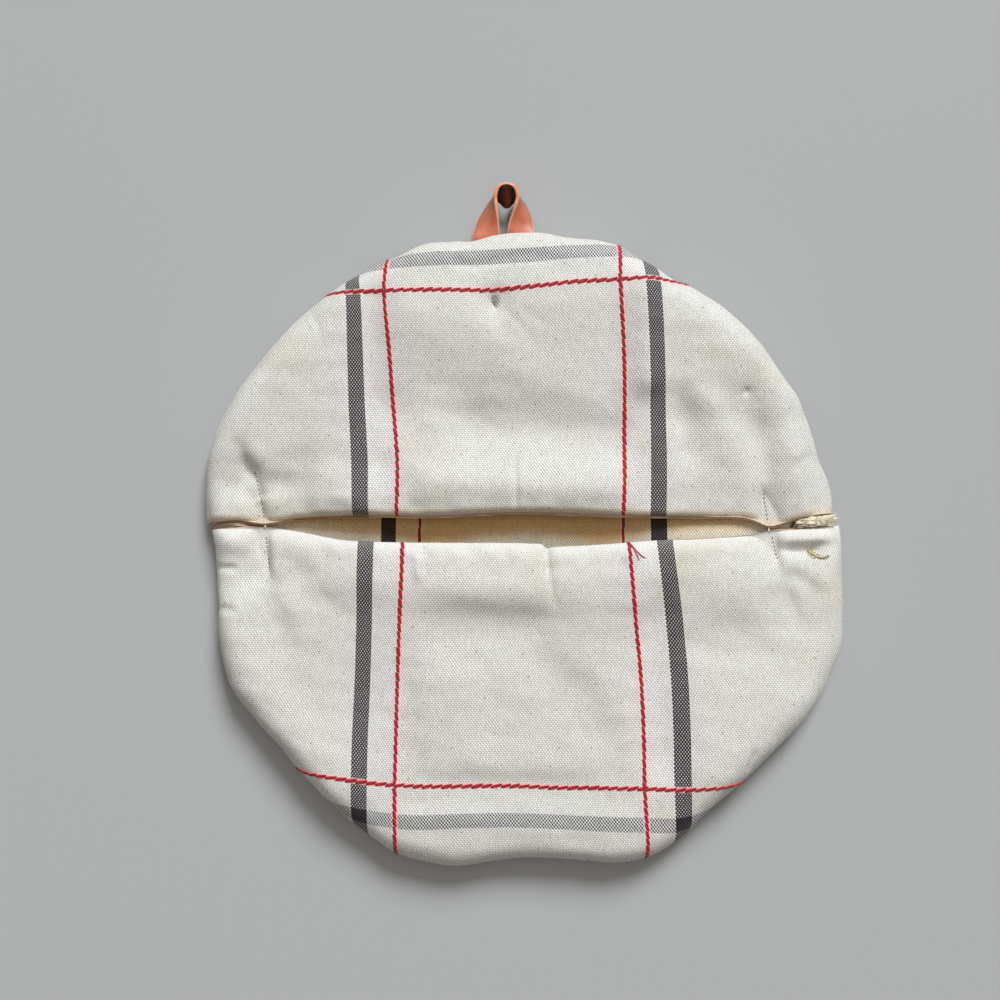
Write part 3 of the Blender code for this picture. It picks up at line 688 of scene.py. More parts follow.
def facing_faces(side):
    start, end, shows_middle, shows_ends = FACING_SPANS[side]

    def faces(u, v, is_upper):
        x = start + (end - start) * (u + 1) / 2
        in_slot = ease((x - LEFT_TACK_X + 4) / 8) * ease((RIGHT_TACK_X + 4 - x) / 8)
        shows = shows_ends + (shows_middle - shows_ends) * in_slot + uneven(x, x * 0, *FACING_EDGE_UNEVEN)
        from_mouth = -shows + (FACING_DEPTH + shows) * v
        y = pocket_mouth(side, x) + side * from_mouth
        rim = pocket_rim(side, np.degrees(np.arctan2(y, x)) % 360)
        from_rim = np.maximum(rim - np.hypot(x, y), 0.3)
        under, _ = pocket_heights(side, x, y, from_rim)
        top = under - FACING_GAP + uneven(x, y, *FACING_UNEVEN)
        edge = 1 - rounded(v * FACING_DEPTH, FACING_EDGE_ROUND)
        z = np.where(is_upper, top - edge * FACING_THICKNESS / 2, top - FACING_THICKNESS * (1 - edge / 2))
        return x, y, z, x, y, 0 * x

    return faces


def grained(name, colour, darker, grain, grain_mm, depth_mm, roughness):
    """A fine grain over broad blotches, in two tones."""
    fine_detail, broad_scale, broad_detail, fine_share, spread, sheen = grain
    material, tree = new_finish(name)
    spot = link(tree, "ShaderNodeTexCoord").outputs["Object"]
    fine = noise(tree, spot, 1 / (grain_mm * MM), fine_detail)
    broad = noise(tree, spot, broad_scale, broad_detail)
    mixed = maths(tree, "MULTIPLY_ADD", fine, fine_share, maths(tree, "MULTIPLY", broad, 1 - fine_share))
    share = ranged(tree, mixed, 0.5 - spread, 0.5 + spread, 0.0, 1.0)
    complete(tree, blended(tree, share, darker, colour), fine, 0.5, depth_mm, roughness, Sheen_Weight=sheen)
    return material


# The fine grain's detail, the blotches' scale and detail, the fine grain's share, how far apart its tones
# are, and the sheen
CLOTH_GRAIN = (3.0, 160.0, 2.0, 0.5, 0.15, 0.15)
# Painted shade: tan and brown for the cream lining in the lips' shade
FACING_SHADE_TAN, FACING_SHADE_BROWN = (0.76, 0.53, 0.35, 1), (0.50, 0.32, 0.19, 1)
facing_cotton = grained("facing_cotton", FACING_SHADE_TAN, FACING_SHADE_BROWN, CLOTH_GRAIN, 0.45, 0.1, 0.9)
facings = []
MOUTH_FACINGS = (("upper_mouth_facing", 1, "upper_facing"), ("lower_mouth_facing", -1, "lower_facing"))
for name, side, node in MOUTH_FACINGS:
    facing = slab(name, 260, 24, facing_faces(side))
    facing.data.materials.append(facing_cotton)
    facing.parent = pockets[side]
    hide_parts(node)
    facings.append(facing)

# ---- The red lines ----
# Thick red yarn woven into the check cotton. It floats over several threads at a time, so that each line is a
# row of slanting dashes, bound down between them by finer threads that its dye has turned pink. In the slot
# only its thin reverse shows.


def strands(name, centres, sides, ups, half_widths, half_heights, corners=8):
    """Many closed strands in one mesh. centres, sides and ups are by strand, ring and axis, in mm, and the
    half sizes by strand and ring."""
    count, rings = half_widths.shape
    turn = np.linspace(0, math.tau, corners, endpoint=False)
    ring = centres[:, :, None] + sides[:, :, None] * (half_widths[..., None] * np.cos(turn))[..., None]
    ring = ring + ups[:, :, None] * (half_heights[..., None] * np.sin(turn))[..., None]
    first = (np.arange(count)[:, None, None] * rings + np.arange(rings - 1)[None, :, None]) * corners
    here, after = np.arange(corners), (np.arange(corners) + 1) % corners
    quads = np.stack([first + here, first + after, first + after + corners, first + here + corners], -1)
    start = np.arange(count)[:, None] * rings * corners
    caps = np.concatenate([start + here[::-1], start + (rings - 1) * corners + here])
    mesh = bpy.data.meshes.new(name)
    mesh.from_pydata((ring.reshape(-1, 3) * MM).tolist(), [], quads.reshape(-1, 4).tolist() + caps.tolist())
    along = np.broadcast_to(np.linspace(0, 1, rings)[None, :, None], (count, rings, corners))
    around = np.broadcast_to((turn / math.tau)[None, None, :], (count, rings, corners))
    which = np.broadcast_to(np.arange(count)[:, None, None], (count, rings, corners))
    strand = mesh.attributes.new("strand", "FLOAT_VECTOR", "POINT")
    strand.data.foreach_set("vector", np.stack([along, around, which], -1).astype(float).ravel())
    mesh.shade_smooth()
    return placed(name, mesh)


def unit(vectors):
    return vectors / np.maximum(np.linalg.norm(vectors, axis=-1, keepdims=True), 1e-9)


def faces_of(obj):
    shape = bmesh.new()
    shape.from_mesh(obj.data)
    found = BVHTree.FromBMesh(shape)
    shape.free()
    return found


def laid(tree, xs, ys, facing=1):
    """The points, in mm, and the normals of the cloth above (or below) these places, from the first that has
    cloth to the last before it ends."""
    spots = []
    for x, y in zip(xs, ys):
        hit, normal = tree.ray_cast(Vector((x * MM, y * MM, 0.06 * facing)), Vector((0, 0, -facing)))[:2]
        if hit is not None:
            spots.append((*(hit / MM), *normal))
        elif spots:
            break
    spots = np.array(spots)
    return spots[:, :3], spots[:, 3:]


def along_line(points, normals, at):
    """The place, the cloth's up, the way ahead and the way aside at these distances along a laid line."""
    way = np.append(0, np.linalg.norm(np.diff(points, axis=0), axis=1).cumsum())

    def read(values, at):
        return np.stack([np.interp(at, way, values[:, k]) for k in range(3)], -1)

    up = unit(read(normals, at))
    ahead = unit(read(points, at + AHEAD_STEP) - read(points, at - AHEAD_STEP))
    return read(points, at), up, ahead, unit(np.cross(ahead, up))


def float_ends(points, pitch, random):
    """Where the yarn's floats begin and end along a laid line, in mm."""
    length = np.linalg.norm(np.diff(points, axis=0), axis=1).sum()
    ends = np.append(0, random.uniform(0.9, 1.1, int(length / pitch)).cumsum())
    return ends * length / ends[-1]


def dashes(points, normals, ends, width, lean, slant_ends, lift, random):
    """The rings of a row of yarn floats along a line on the cloth, leaning across it, their ends slanted."""
    count = len(ends) - 1
    t = np.array([-1, -0.93, -0.72, -0.3, 0.3, 0.72, 0.93, 1])
    at = ends[:-1, None] + np.diff(ends)[:, None] * (0.5 + FLOAT_REACH * t)
    places, up, ahead, side = along_line(points, normals, at)
    slant = lean * width * random.uniform(0.8, 1.2, (count, 1)) * t
    arch = width * FLOAT_ARCH * (1 - t**2) + lift
    centres = places + side * slant[..., None] + up * (arch + 0 * slant)[..., None]
    wide = width / 2 * random.uniform(0.86, 1.14, (count, 1)) * np.sqrt(np.maximum(1 - abs(t) ** 8, 0.08))
    return centres, side + slant_ends * ahead, up, wide, wide * YARN_FLATNESS


def bindings(points, normals, ends, width, slant_ends, lift, random):
    """The rings of the fine threads that cross over the yarn between two floats."""
    t = np.linspace(-1, 1, 8)
    places, up, ahead, side = along_line(points, normals, ends[1:-1, None] + 0 * t)
    rise = lift + width * BINDING_RISES - BINDING_SINKS * t**2
    centres = places + (side + slant_ends * ahead) * (width * BINDING_REACH * t)[:, None] + up * rise[:, None]
    half = BINDING_WIDTH / 2 * random.uniform(0.5, 1.1, (len(centres), 1)) + 0 * t
    return centres, ahead, up, half, half * 0.8


def yarn(name, colour, darker, side_sheen=None):
    """Soft twisted yarn, with painted shade in the grooves between its plies and, where given, a painted
    sheen at its sides.
    """
    material, tree = new_finish(name)
    strand = link(tree, "ShaderNodeAttribute", {"attribute_name": "strand"}).outputs["Vector"]
    along, around, _ = link(tree, "ShaderNodeSeparateXYZ", _0=strand).outputs
    twist = maths(tree, "MULTIPLY_ADD", along, 9.0, maths(tree, "MULTIPLY", around, math.tau * 2))
    ply = maths(tree, "SINE", twist)
    toned = blended(tree, ranged(tree, ply, -1.0, 0.2, 0.0, 1.0), darker, colour)
    if side_sheen:
        aside = maths(tree, "ABSOLUTE", maths(tree, "COSINE", maths(tree, "MULTIPLY", around, math.tau)))
        toned = blended(tree, ranged(tree, aside, 0.62, 1.0, 0.0, 0.75), toned, side_sheen)
    complete(tree, toned, ply, 0.6, 0.1, 0.75, Sheen_Weight=0.3, Sheen_Tint=(1.0, 0.5, 0.5, 1))
    return material


# The red, the painted shade in its grooves, and the painted sheen at its sides
RED, DARK_RED, RED_SIDE_SHEEN = (0.33, 0.002, 0.020, 1), (0.17, 0.001, 0.009, 1), (0.80, 0.10, 0.12, 1)
lines_red = yarn("red_yarn", RED, DARK_RED, RED_SIDE_SHEEN)
reverse_red = yarn("red_yarn_reverse", (0.26, 0.002, 0.012, 1), (0.17, 0.001, 0.007, 1))
bound_pink = yarn("binding_thread", (0.88, 0.38, 0.38, 1), (0.62, 0.15, 0.16, 1))
YARN_WIDTH, YARN_FLATNESS, YARN_LIFT, CROSS_LIFT = 1.2, 0.3, 0.05, 0.09
DOWN_PITCH, DOWN_LEAN, DOWN_SLANT = 2.5, -0.15, -0.5
CROSS_PITCH, CROSS_LEAN, CROSS_SLANT = 3.0, -0.2, -0.7
REVERSE_WIDTH, REVERSE_PITCH = 0.95, 7.0
PRESSED_IN = 0.15  # how far the yarn on the underside is pressed into the cloth
BINDING_WIDTH, BINDING_REACH, BINDING_RISES, BINDING_SINKS = 0.24, 0.36, 0.12, 0.10
# How far a float reaches each way, as a share of its pitch, and how far it arches up, as a share of its width
FLOAT_REACH, FLOAT_ARCH, AHEAD_STEP = 0.53, 0.08, 0.4
LAYING_STEP, CROSS_REACH, YARN_SEED = 0.12, 82, 60
# Which columns of its table each line follows down the cloth
DOWN_COLUMNS = (2, 3)
UNDERSIDE_CROSS = (
    ((-70, 73.5), (-30, 74.5), (10, 75.0), (60, 74.0)),
    ((-72, -78.0), (-20, -79.0), (30, -79.0), (70, -78.0)),
)
# Where, the cloth it lies on, above or below it, its table, y from and to, its cross lines, finish
LINE_GROUPS = (
    ("upper_pocket", pockets[1], 1, UPPER_RUN, 2.5, 100, (UPPER_CROSS,), "upper_pocket_cotton"),
    ("lower_pocket", pockets[-1], 1, LOWER_RUN, -2.5, -118, (LOWER_CROSS,), "lower_pocket_cotton"),
    ("slot", back, 1, BACK_RUN, -42, 42, (), "back_cotton"),
    ("underside", back, -1, UNDERSIDE_RUN, -110, 100, UNDERSIDE_CROSS, "back_cotton"),
)
for where, under_it, facing, run, y_from, y_to, crossing, finish in LINE_GROUPS:
    reverse = where == "slot"
    width, pitch = (REVERSE_WIDTH, REVERSE_PITCH) if reverse else (YARN_WIDTH, DOWN_PITCH)
    y = np.linspace(y_from, y_to, int(abs(y_to - y_from) / LAYING_STEP))
    ways = [(curve(run, y, column), y, pitch, DOWN_LEAN, DOWN_SLANT, YARN_LIFT) for column in DOWN_COLUMNS]
    x = np.linspace(-CROSS_REACH, CROSS_REACH, int(2 * CROSS_REACH / LAYING_STEP))
    ways += [(x, curve(cross, x), CROSS_PITCH, CROSS_LEAN, CROSS_SLANT, CROSS_LIFT) for cross in crossing]
    cloth_faces = faces_of(under_it)
    floats, binders = [], []
    for seed, (x, y, its_pitch, lean, slant, lift) in enumerate(ways):
        random = np.random.default_rng(YARN_SEED + seed)
        points, normals = laid(cloth_faces, x, y, facing)
        lift = lift if facing > 0 else lift - PRESSED_IN
        ends = float_ends(points, its_pitch, random)
        floats.append(dashes(points, normals, ends, width, lean, slant, lift, random))
        binders.append(bindings(points, normals, ends, width, slant, lift, random))
    parts = [("red_lines_of_" + where, floats, reverse_red if reverse else lines_red)]
    if not reverse:
        parts.append(("binding_threads_of_" + where, binders, bound_pink))
    for name, rows, material in parts:
        drawn = strands(name, *[np.concatenate([row[k] for row in rows]) for k in range(5)])
        drawn.data.materials.append(material)
        drawn.parent = under_it

# ---- The stitches at the slot's ends ----
# Near each end of the slot a few turns of pinkish-cream thread hold both pockets' lips to the back.


def threads(name, routes, width, corners=6, rings=24):
    """Round threads along smooth routes, each a short list of points in mm."""
    t = np.linspace(0, 1, rings)
    centres = []
    for route in routes:
        table = [(k / (len(route) - 1), *point) for k, point in enumerate(route)]
        centres.append(np.stack([curve(table, t, k) for k in (1, 2, 3)], -1))
    centres = np.array(centres)
    ahead = unit(np.gradient(centres, axis=1))
    side = unit(np.cross(ahead, np.broadcast_to([0.05, 0.03, 1.0], ahead.shape)))
    up = np.cross(side, ahead)
    half = np.full(centres.shape[:2], width / 2)
    half[:, (0, -1)] *= 0.3
    return strands(name, centres, side, up, half, half, corners)


def sewn_in(name, routes, width, finish, carried_by, slot, **rings):
    """Threads of one finish, carried by a piece of the cloth."""
    piece = threads(name, routes, width, **rings)
    piece.data.materials.append(finish)
    piece.parent = carried_by


cloth_surfaces = [faces_of(piece) for piece in (pockets[1], pockets[-1], *facings, back)]


def height_at(x, y):
    """The height of the uppermost cloth at this place."""
    hits = [tree.ray_cast(Vector((x * MM, y * MM, 0.06)), Vector((0, 0, -1)))[0] for tree in cloth_surfaces]
    return max([hit.z / MM for hit in hits if hit is not None], default=0.0)


stitch_thread = yarn("stitch_thread", (0.78, 0.62, 0.50, 1), (0.50, 0.36, 0.28, 1))
# x and y of one end, x and y of the other, in mm, at each end stitch
STITCH_TURNS = (
    (-80.9, 2.0, -81.1, -0.4), (-80.5, 1.8, -80.8, -0.3), (-81.4, 2.1, -80.7, -0.6),
    (76.0, 0.9, 76.1, -1.9), (75.7, 0.8, 75.9, -1.7), (76.4, 1.0, 75.9, -2.1),
)
routes = []
for x0, y0, x1, y1 in STITCH_TURNS:
    high = max(height_at(x0, y0), height_at(x1, y1))
    middle = ((x0 + x1) / 2, (y0 + y1) / 2)
    routes.append((
        (x0, y0, height_at(x0, y0) - 0.3), (x0, y0 * 0.8, height_at(x0, y0) + 0.05),
        (*middle, high - 0.5), (x1, y1 * 0.8, height_at(x1, y1) + 0.05), (x1, y1, height_at(x1, y1) - 0.3),
    ))
sewn_in("end_stitches", routes, 0.28, stitch_thread, pockets[1], "upper_pocket_cotton")

# The sunk stitches of the lines that run from there into both pockets, their thread dark brown as painted
# shade of the creases they sink into
SUNK_PITCH, SUNK_HALF, SUNK_DEPTH, SUNK_FROM_MOUTH = 1.3, 0.45, 0.1, 2.6
sunk_thread_painted_shade = yarn("sunk_thread_painted_shade", (0.26, 0.20, 0.16, 1), (0.14, 0.10, 0.08, 1))
routes = []
for x0, y0, x1, y1, _, _ in DARTS[:5]:
    long = math.hypot(x1 - x0, y1 - y0)
    dx, dy = (x1 - x0) / long * SUNK_HALF, (y1 - y0) / long * SUNK_HALF
    for at in np.arange(0, 0.8 * long, SUNK_PITCH):
        x, y = x0 + (x1 - x0) * at / long, y0 + (y1 - y0) * at / long
        if (y1 - y0) * y > 0 and abs(y) > SUNK_FROM_MOUTH:
            z = height_at(x, y)
            end_z = z - SUNK_DEPTH
            routes.append(((x - dx, y - dy, end_z), (x, y, z + 0.06), (x + dx, y + dy, end_z)))
sewn_in("sunk_stitches", routes, 0.34, sunk_thread_painted_shade, pockets[1], "upper_pocket_cotton", corners=5, rings=6)

# ---- The hanging loop ----
# One strip of tan leather, smooth outside and rough inside, its flesh side coloured dark brown as painted
# shade, its cut edges pale. It stands on edge at its top and its two ends turn flat into the seam side by
# side.

# Share of the way along the strip, then x, y, z of its near edge and of its far edge, in mm
LOOP_EDGES = (
    (0.00, -7.9, 88.2, 5.8, -16.4, 88.2, 5.8), (0.07, -7.9, 91.2, 5.9, -16.2, 91.4, 5.8),
    (0.18, -8.2, 96.4, 7.3, -14.7, 95.8, 4.0), (0.27, -8.8, 100.3, 8.6, -12.4, 100.1, 1.9),
    (0.35, -9.2, 103.4, 9.2, -10.0, 103.4, 1.2), (0.43, -8.3, 106.3, 9.4, -7.8, 102.6, 2.4),
    (0.50, -5.8, 107.3, 9.4, -5.7, 100.2, 4.6), (0.57, -3.3, 106.3, 9.4, -3.7, 102.4, 2.4),
    (0.65, -2.3, 103.4, 9.1, -1.5, 103.3, 1.2), (0.73, -3.2, 100.2, 8.5, 0.6, 100.4, 1.9),
    (0.82, -4.7, 96.4, 7.2, 2.3, 95.9, 4.0), (0.93, -5.9, 91.2, 5.9, 3.0, 91.4, 5.8),
    (1.00, -6.0, 88.2, 5.8, 3.0, 88.2, 5.8),
)
LOOP_STEPS, EDGE_BEVEL = 180, 0.28


def loop_section():
    """The strip's rings of points, in mm, each running round its cross-section from the near edge."""
    at = np.linspace(0, 1, LOOP_STEPS)
    near = np.stack([curve(LOOP_EDGES, at, k) for k in (1, 2, 3)], -1)
    far = np.stack([curve(LOOP_EDGES, at, k) for k in (4, 5, 6)], -1)
    width = np.linalg.norm(far - near, axis=1)
    half, bevel = LOOP_THICKNESS / 2, EDGE_BEVEL
    # The near edge's own points: in mm from that edge, and through the strip
    edge = (
        (bevel, half), (bevel * 0.3, half - bevel * 0.3), (0, half - bevel),
        (0, -half + bevel), (bevel * 0.3, -half + bevel * 0.3), (bevel, -half),
    )
    shares = (0.2, 0.4, 0.6, 0.8)
    across = [np.full(LOOP_STEPS, a) for a, _ in edge] + [width * share for share in shares]
    across += [width - a for a, _ in edge[::-1]] + [width * share for share in shares[::-1]]
    through = [h for _, h in edge] + [-half] * 4 + [h for _, h in edge[::-1]] + [half] * 4
    rings = []
    for a, h in zip(across, through):
        spot = near + (far - near) * (a / width)[:, None]
        out = unit(np.cross(np.gradient(spot, axis=0), far - near))
        rings.append(spot + out * h)
    return np.stack(rings, 1)


section = loop_section()
corners = section.shape[1]
mesh = bpy.data.meshes.new("leather_hanging_loop")
first = np.arange(LOOP_STEPS - 1)[:, None] * corners
here, after = np.arange(corners), (np.arange(corners) + 1) % corners
quads = np.stack([first + here, first + here + corners, first + after + corners, first + after], -1)
ends = [here.tolist(), ((LOOP_STEPS - 1) * corners + here[::-1]).tolist()]
mesh.from_pydata((section.reshape(-1, 3) * MM).tolist(), [], quads.reshape(-1, 4).tolist() + ends)
LEATHER_GRAIN = (5.0, 260.0, 3.0, 0.4, 0.12, 0.0)
# Name, colour, darker tone, grain and depth of the relief in mm, roughness
LEATHERS = (
    ("tan_leather", (0.58, 0.190, 0.110, 1), (0.43, 0.115, 0.055, 1), 0.3, 0.05, 0.42),
    ("leather_cut_edge", (0.86, 0.45, 0.29, 1), (0.62, 0.26, 0.14, 1), 0.25, 0.08, 0.8),
    ("leather_flesh_side", (0.17, 0.045, 0.016, 1), (0.035, 0.008, 0.004, 1), 0.3, 0.25, 0.95),
)
for name, colour, darker, *relief in LEATHERS:
    mesh.materials.append(grained(name, colour, darker, LEATHER_GRAIN, *relief))
# Round the strip, five faces each: one cut edge, the flesh side within, the other cut edge, the smooth side
SMOOTH, CUT, FLESH = 0, 1, 2
which = np.repeat((CUT, FLESH, CUT, SMOOTH), 5)
mesh.polygons.foreach_set("material_index", np.append(np.tile(which, LOOP_STEPS - 1), (CUT, CUT)))
mesh.shade_smooth()
loop = placed("leather_hanging_loop", mesh)
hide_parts("hanging_loop")
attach(loop, "root")

# ---- The wadding in the burst seam ----
# At the slot's right end the seam has burst, and a lump of the cream wadding pushes out between the lips.
TUFT_CENTRE, TUFT_HALF, TUFT_TURN, TUFT_HEIGHT = (90.9, 1.9), (6.0, 1.5, 1.8), math.radians(8), 9.5

shape = bmesh.new()
bmesh.ops.create_icosphere(shape, subdivisions=6, radius=1)
mesh = bpy.data.meshes.new("wadding_lump")
shape.to_mesh(mesh)
shape.free()
spots = np.empty(len(mesh.vertices) * 3)
mesh.vertices.foreach_get("co", spots)
p = spots.reshape(-1, 3)
px, py, pz = p[:, 0] * 6.2, p[:, 1], p[:, 2]
lump = 1 + uneven(px + pz * 2, py * 3, 0.16, 4.5, 31)
lump = lump + uneven(px - pz * 3, py * 4 + pz, 0.17, 1.7, 32)
lump = lump + uneven(px + pz, py * 2 - pz * 4, 0.08, 0.7, 33)
x, y, z = (p[:, k] * TUFT_HALF[k] * lump for k in range(3))
p[:, 0] = TUFT_CENTRE[0] + x * math.cos(TUFT_TURN) - y * math.sin(TUFT_TURN)
p[:, 1] = TUFT_CENTRE[1] + x * math.sin(TUFT_TURN) + y * math.cos(TUFT_TURN)
p[:, 2] = TUFT_HEIGHT + z
mesh.vertices.foreach_set("co", (p * MM).ravel())
mesh.shade_smooth()
wadding = grained("cream_wadding", (0.97, 0.94, 0.80, 1), (0.74, 0.64, 0.42, 1), CLOTH_GRAIN, 0.8, 0.1, 0.9)
mesh.materials.append(wadding)
tuft = placed("wadding_lump", mesh)
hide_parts("wadding_tuft")
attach(tuft, "root")

random = np.random.default_rng(41)
routes = []
for _ in range(150):
    u, v = random.uniform(-0.95, 0.95), random.uniform(-0.9, 0.9)
    x = TUFT_CENTRE[0] + u * TUFT_HALF[0]
    y = TUFT_CENTRE[1] + u * TUFT_HALF[0] * math.sin(TUFT_TURN) + v * TUFT_HALF[1]
    z = TUFT_HEIGHT + TUFT_HALF[2] * math.sqrt(max(1 - u * u - v * v, 0.02)) * 0.98
    heading, reach, rise = random.uniform(0, math.tau), random.uniform(0.5, 1.4), random.uniform(0.1, 0.5)
    dx, dy = reach * math.cos(heading), 0.6 * reach * math.sin(heading)
    bend = random.uniform(-0.5, 0.5)
    routes.append((
        (x - dx, y - dy, z - 0.4), (x - dx * 0.4 + dy * bend, y - dy * 0.4 - dx * bend, z + rise),
        (x + dx * 0.4, y + dy * 0.4, z + rise * 0.8), (x + dx, y + dy, z - 0.3),
    ))
fibre = yarn("wadding_fibre", (0.98, 0.95, 0.84, 1), (0.82, 0.74, 0.54, 1))
sewn_in("wadding_wisps", routes, 0.11, fibre, tuft, "wadding", corners=4, rings=9)

# A near-black strand laid as painted shadow in the slit where the seam begins to gape, and the torn pinkish
# threads beside it
painted_gap_shadow = yarn("painted_gap_shadow", (0.055, 0.028, 0.014, 1), (0.03, 0.014, 0.008, 1))
GAP_SHADOW_WAY = ((84.3, 2.5, 7.6), (83.9, 1.5, 7.9), (83.5, 0.5, 7.8), (83.2, -0.1, 7.3))
sewn_in("painted_shadow_in_the_gap", [GAP_SHADOW_WAY], 0.75, painted_gap_shadow, tuft, "wadding")
routes = []
for _ in range(16):
    x, y = 85.3 + random.uniform(-0.9, 1.2), 1.5 + random.uniform(-1.1, 1.1)
    dx, dy = random.uniform(-0.7, 0.7), random.uniform(-0.8, 0.8)
    routes.append(((x - dx, y - dy, 8.3), (x - dy * 0.4, y + dx * 0.4, 9.2), (x + dx, y + dy, 8.5)))
torn_thread = yarn("torn_thread", (0.62, 0.40, 0.31, 1), (0.38, 0.20, 0.14, 1))
sewn_in("torn_seam_threads", routes, 0.2, torn_thread, tuft, "wadding", corners=5, rings=8)

# ---- Loose ends ----
# A red yarn's loose end at the lower mouth, raw edges and white threads in the slot's left end, a yellowish
# wisp caught on the right, and the faint fuzz of the cloth's rim.


def over_cloth(way, least=0.0):
    """A way over the cloth, from x, y and how high above it, in mm, and never lower than least."""
    return [(x, y, max(height_at(x, y), least) + lift) for x, y, lift in way]


# The red yarn's two strands: x, y and how high above the cloth, in mm
RED_ENDS = (
    ((32.4, -5.0, 0.15), (33.2, -6.0, 0.25), (34.2, -7.2, 0.3), (35.4, -8.4, 0.25), (36.8, -9.3, 0.2)),
    ((32.5, -5.4, 0.15), (33.4, -6.9, 0.25), (34.0, -8.0, 0.25), (34.5, -9.0, 0.2), (34.8, -10.0, 0.2)),
)
frayed_red = yarn("frayed_red", (0.70, 0.05, 0.08, 1), (0.55, 0.03, 0.05, 1))
red_ends = [over_cloth(way) for way in RED_ENDS]
sewn_in("loose_red_end", red_ends, 0.28, frayed_red, pockets[-1], "lower_pocket_cotton")

# The raw edges that show in the slot's left end: name, width, colour, darker tone, then x, y and how high
# above the cloth each lies, in mm
RAW_EDGES = (
    ("brown_raw_edge", 0.5, (0.46, 0.26, 0.17, 1), (0.24, 0.12, 0.07, 1), (
        ((-98.4, 1.0, 0.2), (-95, 1.6, 0.2), (-90, 1.75, 0.2), (-86, 1.2, 0.2), (-82, 0.6, 0.2)),
        ((-98.6, -0.9, 0.1), (-98.0, -0.2, 0.2), (-97.2, 0.7, 0.3), (-96.2, 1.3, 0.2), (-95.0, 1.5, 0.2)),
        ((-72, 2.2, 0.1), (-66, 2.7, 0.1), (-60, 3.0, 0.1), (-54, 3.3, 0.1), (-48, 3.3, 0.1)),
    )),
    ("pale_raw_edge", 0.42, (0.80, 0.60, 0.48, 1), (0.52, 0.34, 0.25, 1), (
        ((-97.8, 0.4, 0.2), (-95, 1.15, 0.2), (-90, 1.3, 0.2), (-86, 0.8, 0.2), (-82, 0.3, 0.2)),
        ((-98.0, -0.9, 0.1), (-97.4, -0.5, 0.2), (-96.6, 0.3, 0.3), (-95.6, 0.8, 0.2), (-94.4, 1.0, 0.2)),
    )),
)
for name, width, colour, darker, ways in RAW_EDGES:
    routes = [over_cloth(way, SEAM_HEIGHT) for way in ways]
    sewn_in(name, routes, width, yarn(name, colour, darker), back, "facing_cotton", rings=40)

WHITE_ENDS = (
    ((-93.9, 0.2, 7.6), (-91.5, 0.95, 8.4), (-88.6, 1.05, 8.6), (-86.0, 0.3, 8.0)),
    ((-92.8, -0.1, 7.5), (-90.3, 0.55, 8.2), (-87.8, 0.5, 8.3), (-85.2, -0.2, 7.7)),
    ((-94.5, 0.8, 7.4), (-92.4, 1.2, 8.0), (-90.0, 1.0, 8.2), (-87.4, 1.1, 7.6)),
)
white_thread = yarn("white_thread", (0.85, 0.80, 0.74, 1), (0.62, 0.54, 0.46, 1))
sewn_in("white_thread_ends", WHITE_ENDS, 0.4, white_thread, back, "back_cotton")

# The yellowish wisp
routes = []
for _ in range(60):
    u, v = random.uniform(0, 1), random.normal(0, 0.25)
    x, y = 88.4 + 5.2 * u, -7.6 - 1.7 * math.sin(2.2 * u) + v * (1.4 - 0.9 * u)
    dx, dy = random.uniform(0.4, 0.9), random.uniform(-0.6, 0.1) + 0.5 * u
    z = height_at(x, y)
    middle = (x, y + 0.2, z + random.uniform(0.2, 0.7))
    routes.append(((x - dx, y - dy, z + 0.1), middle, (x + dx, y + dy, z + 0.15)))
yellowish = yarn("yellowish_fibre", (0.74, 0.68, 0.40, 1), (0.42, 0.36, 0.16, 1))
sewn_in("yellowish_wisp", routes, 0.25, yellowish, pockets[-1], "wadding", corners=5, rings=8)

# The fuzz of the rim
routes = []
for angle in random.uniform(0, 360, 420):
    rim = float(pocket_rim(1 if angle < 180 else -1, np.array([angle]))[0])
    out = np.array([math.cos(math.radians(angle)), math.sin(math.radians(angle)), 0])
    turn, reach = math.radians(random.uniform(-70, 70)), random.uniform(0.4, 1.3)
    away = np.array([
        out[0] * math.cos(turn) - out[1] * math.sin(turn), out[0] * math.sin(turn) + out[1] * math.cos(turn),
        random.uniform(-0.4, 0.5),
    ])
    root = out * (rim - 0.7) + np.array([0, 0, random.uniform(4.5, 7.5)])
    tip = root + away * reach + out * 0.5
    routes.append((root, (root + tip) / 2 + random.uniform(-0.25, 0.25, 3), tip))
cotton_fuzz = yarn("cotton_fuzz", (0.86, 0.84, 0.78, 1), (0.70, 0.68, 0.62, 1))
sewn_in("rim_fuzz", routes, 0.045, cotton_fuzz, back, "back_cotton", corners=4, rings=7)

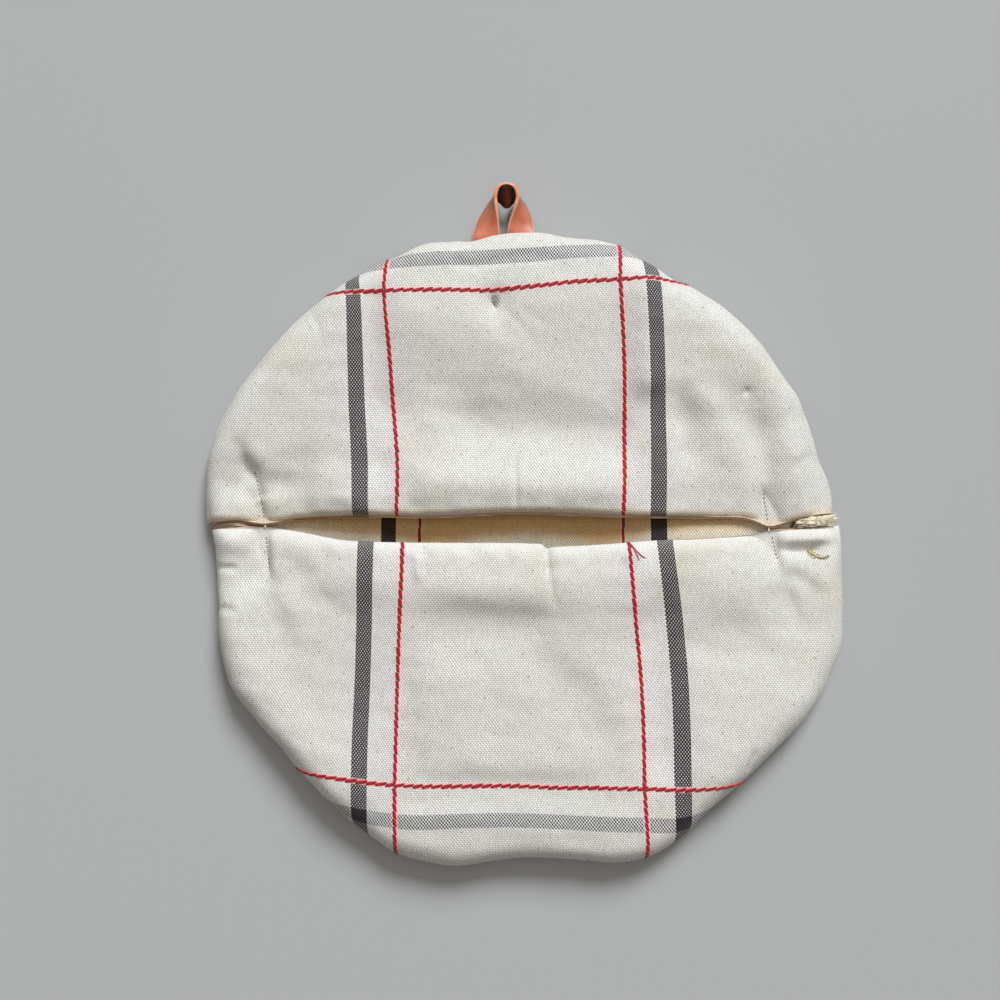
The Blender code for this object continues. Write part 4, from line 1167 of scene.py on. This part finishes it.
# ---- The table and the light ----
# A plain pale table top, one broad soft light from beyond the top edge, a little to the right, and a faint
# fill from above and all round.
floor_mesh = bpy.data.meshes.new("table_top")
table = bmesh.new()
bmesh.ops.create_grid(table, x_segments=1, y_segments=1, size=3)
table.to_mesh(floor_mesh)
table.free()
floor = placed("table_top", floor_mesh)
floor_paint, tree = new_finish("pale_table")
tree.nodes["Principled BSDF"].inputs["Base Color"].default_value = (0.41, 0.425, 0.445, 1)
tree.nodes["Principled BSDF"].inputs["Roughness"].default_value = 0.7
floor_mesh.materials.append(floor_paint)

# Name, power, degrees left of the top edge, degrees above the table, how wide it is in degrees, colour
LIGHTS = (
    ("window_light", 3.35, -18, 40, 22, (0.985, 1.0, 1.0)),
    ("room_light", 0.62, 0, 84, 60, (1.0, 0.93, 0.84)),
)
for name, power, left, high, wide, colour in LIGHTS:
    light = placed(name, bpy.data.lights.new(name, "SUN"))
    light.data.energy, light.data.angle, light.data.color = power, math.radians(wide), colour
    left, high = math.radians(left), math.radians(high)
    towards = Vector((-math.sin(left) * math.cos(high), math.cos(left) * math.cos(high), math.sin(high)))
    light.rotation_euler = towards.to_track_quat("Z", "Y").to_euler()

world = bpy.data.worlds.new("soft_room")
world.use_nodes = True
world.node_tree.nodes["Background"].inputs[0].default_value = (1.0, 0.93, 0.82, 1)
world.node_tree.nodes["Background"].inputs[1].default_value = 0.15
bpy.context.scene.world = world
bpy.context.scene.view_settings.view_transform = "Standard"

# The camera looks straight down, with the whole pot holder in view
VIEW_CENTRE, VIEW_HEIGHT, VIEW_WIDTH, VIEW_LEVEL = (-7.8, 8.5), 450.0, 313.5, 6.0
camera = placed("camera", bpy.data.cameras.new("camera"))
camera.data.sensor_width = 36.0
camera.data.lens = camera.data.sensor_width * VIEW_HEIGHT / VIEW_WIDTH
camera.data.clip_start, camera.data.clip_end = 0.01, 10
camera.location = (VIEW_CENTRE[0] * MM, VIEW_CENTRE[1] * MM, (VIEW_HEIGHT + VIEW_LEVEL) * MM)
bpy.context.scene.camera = camera
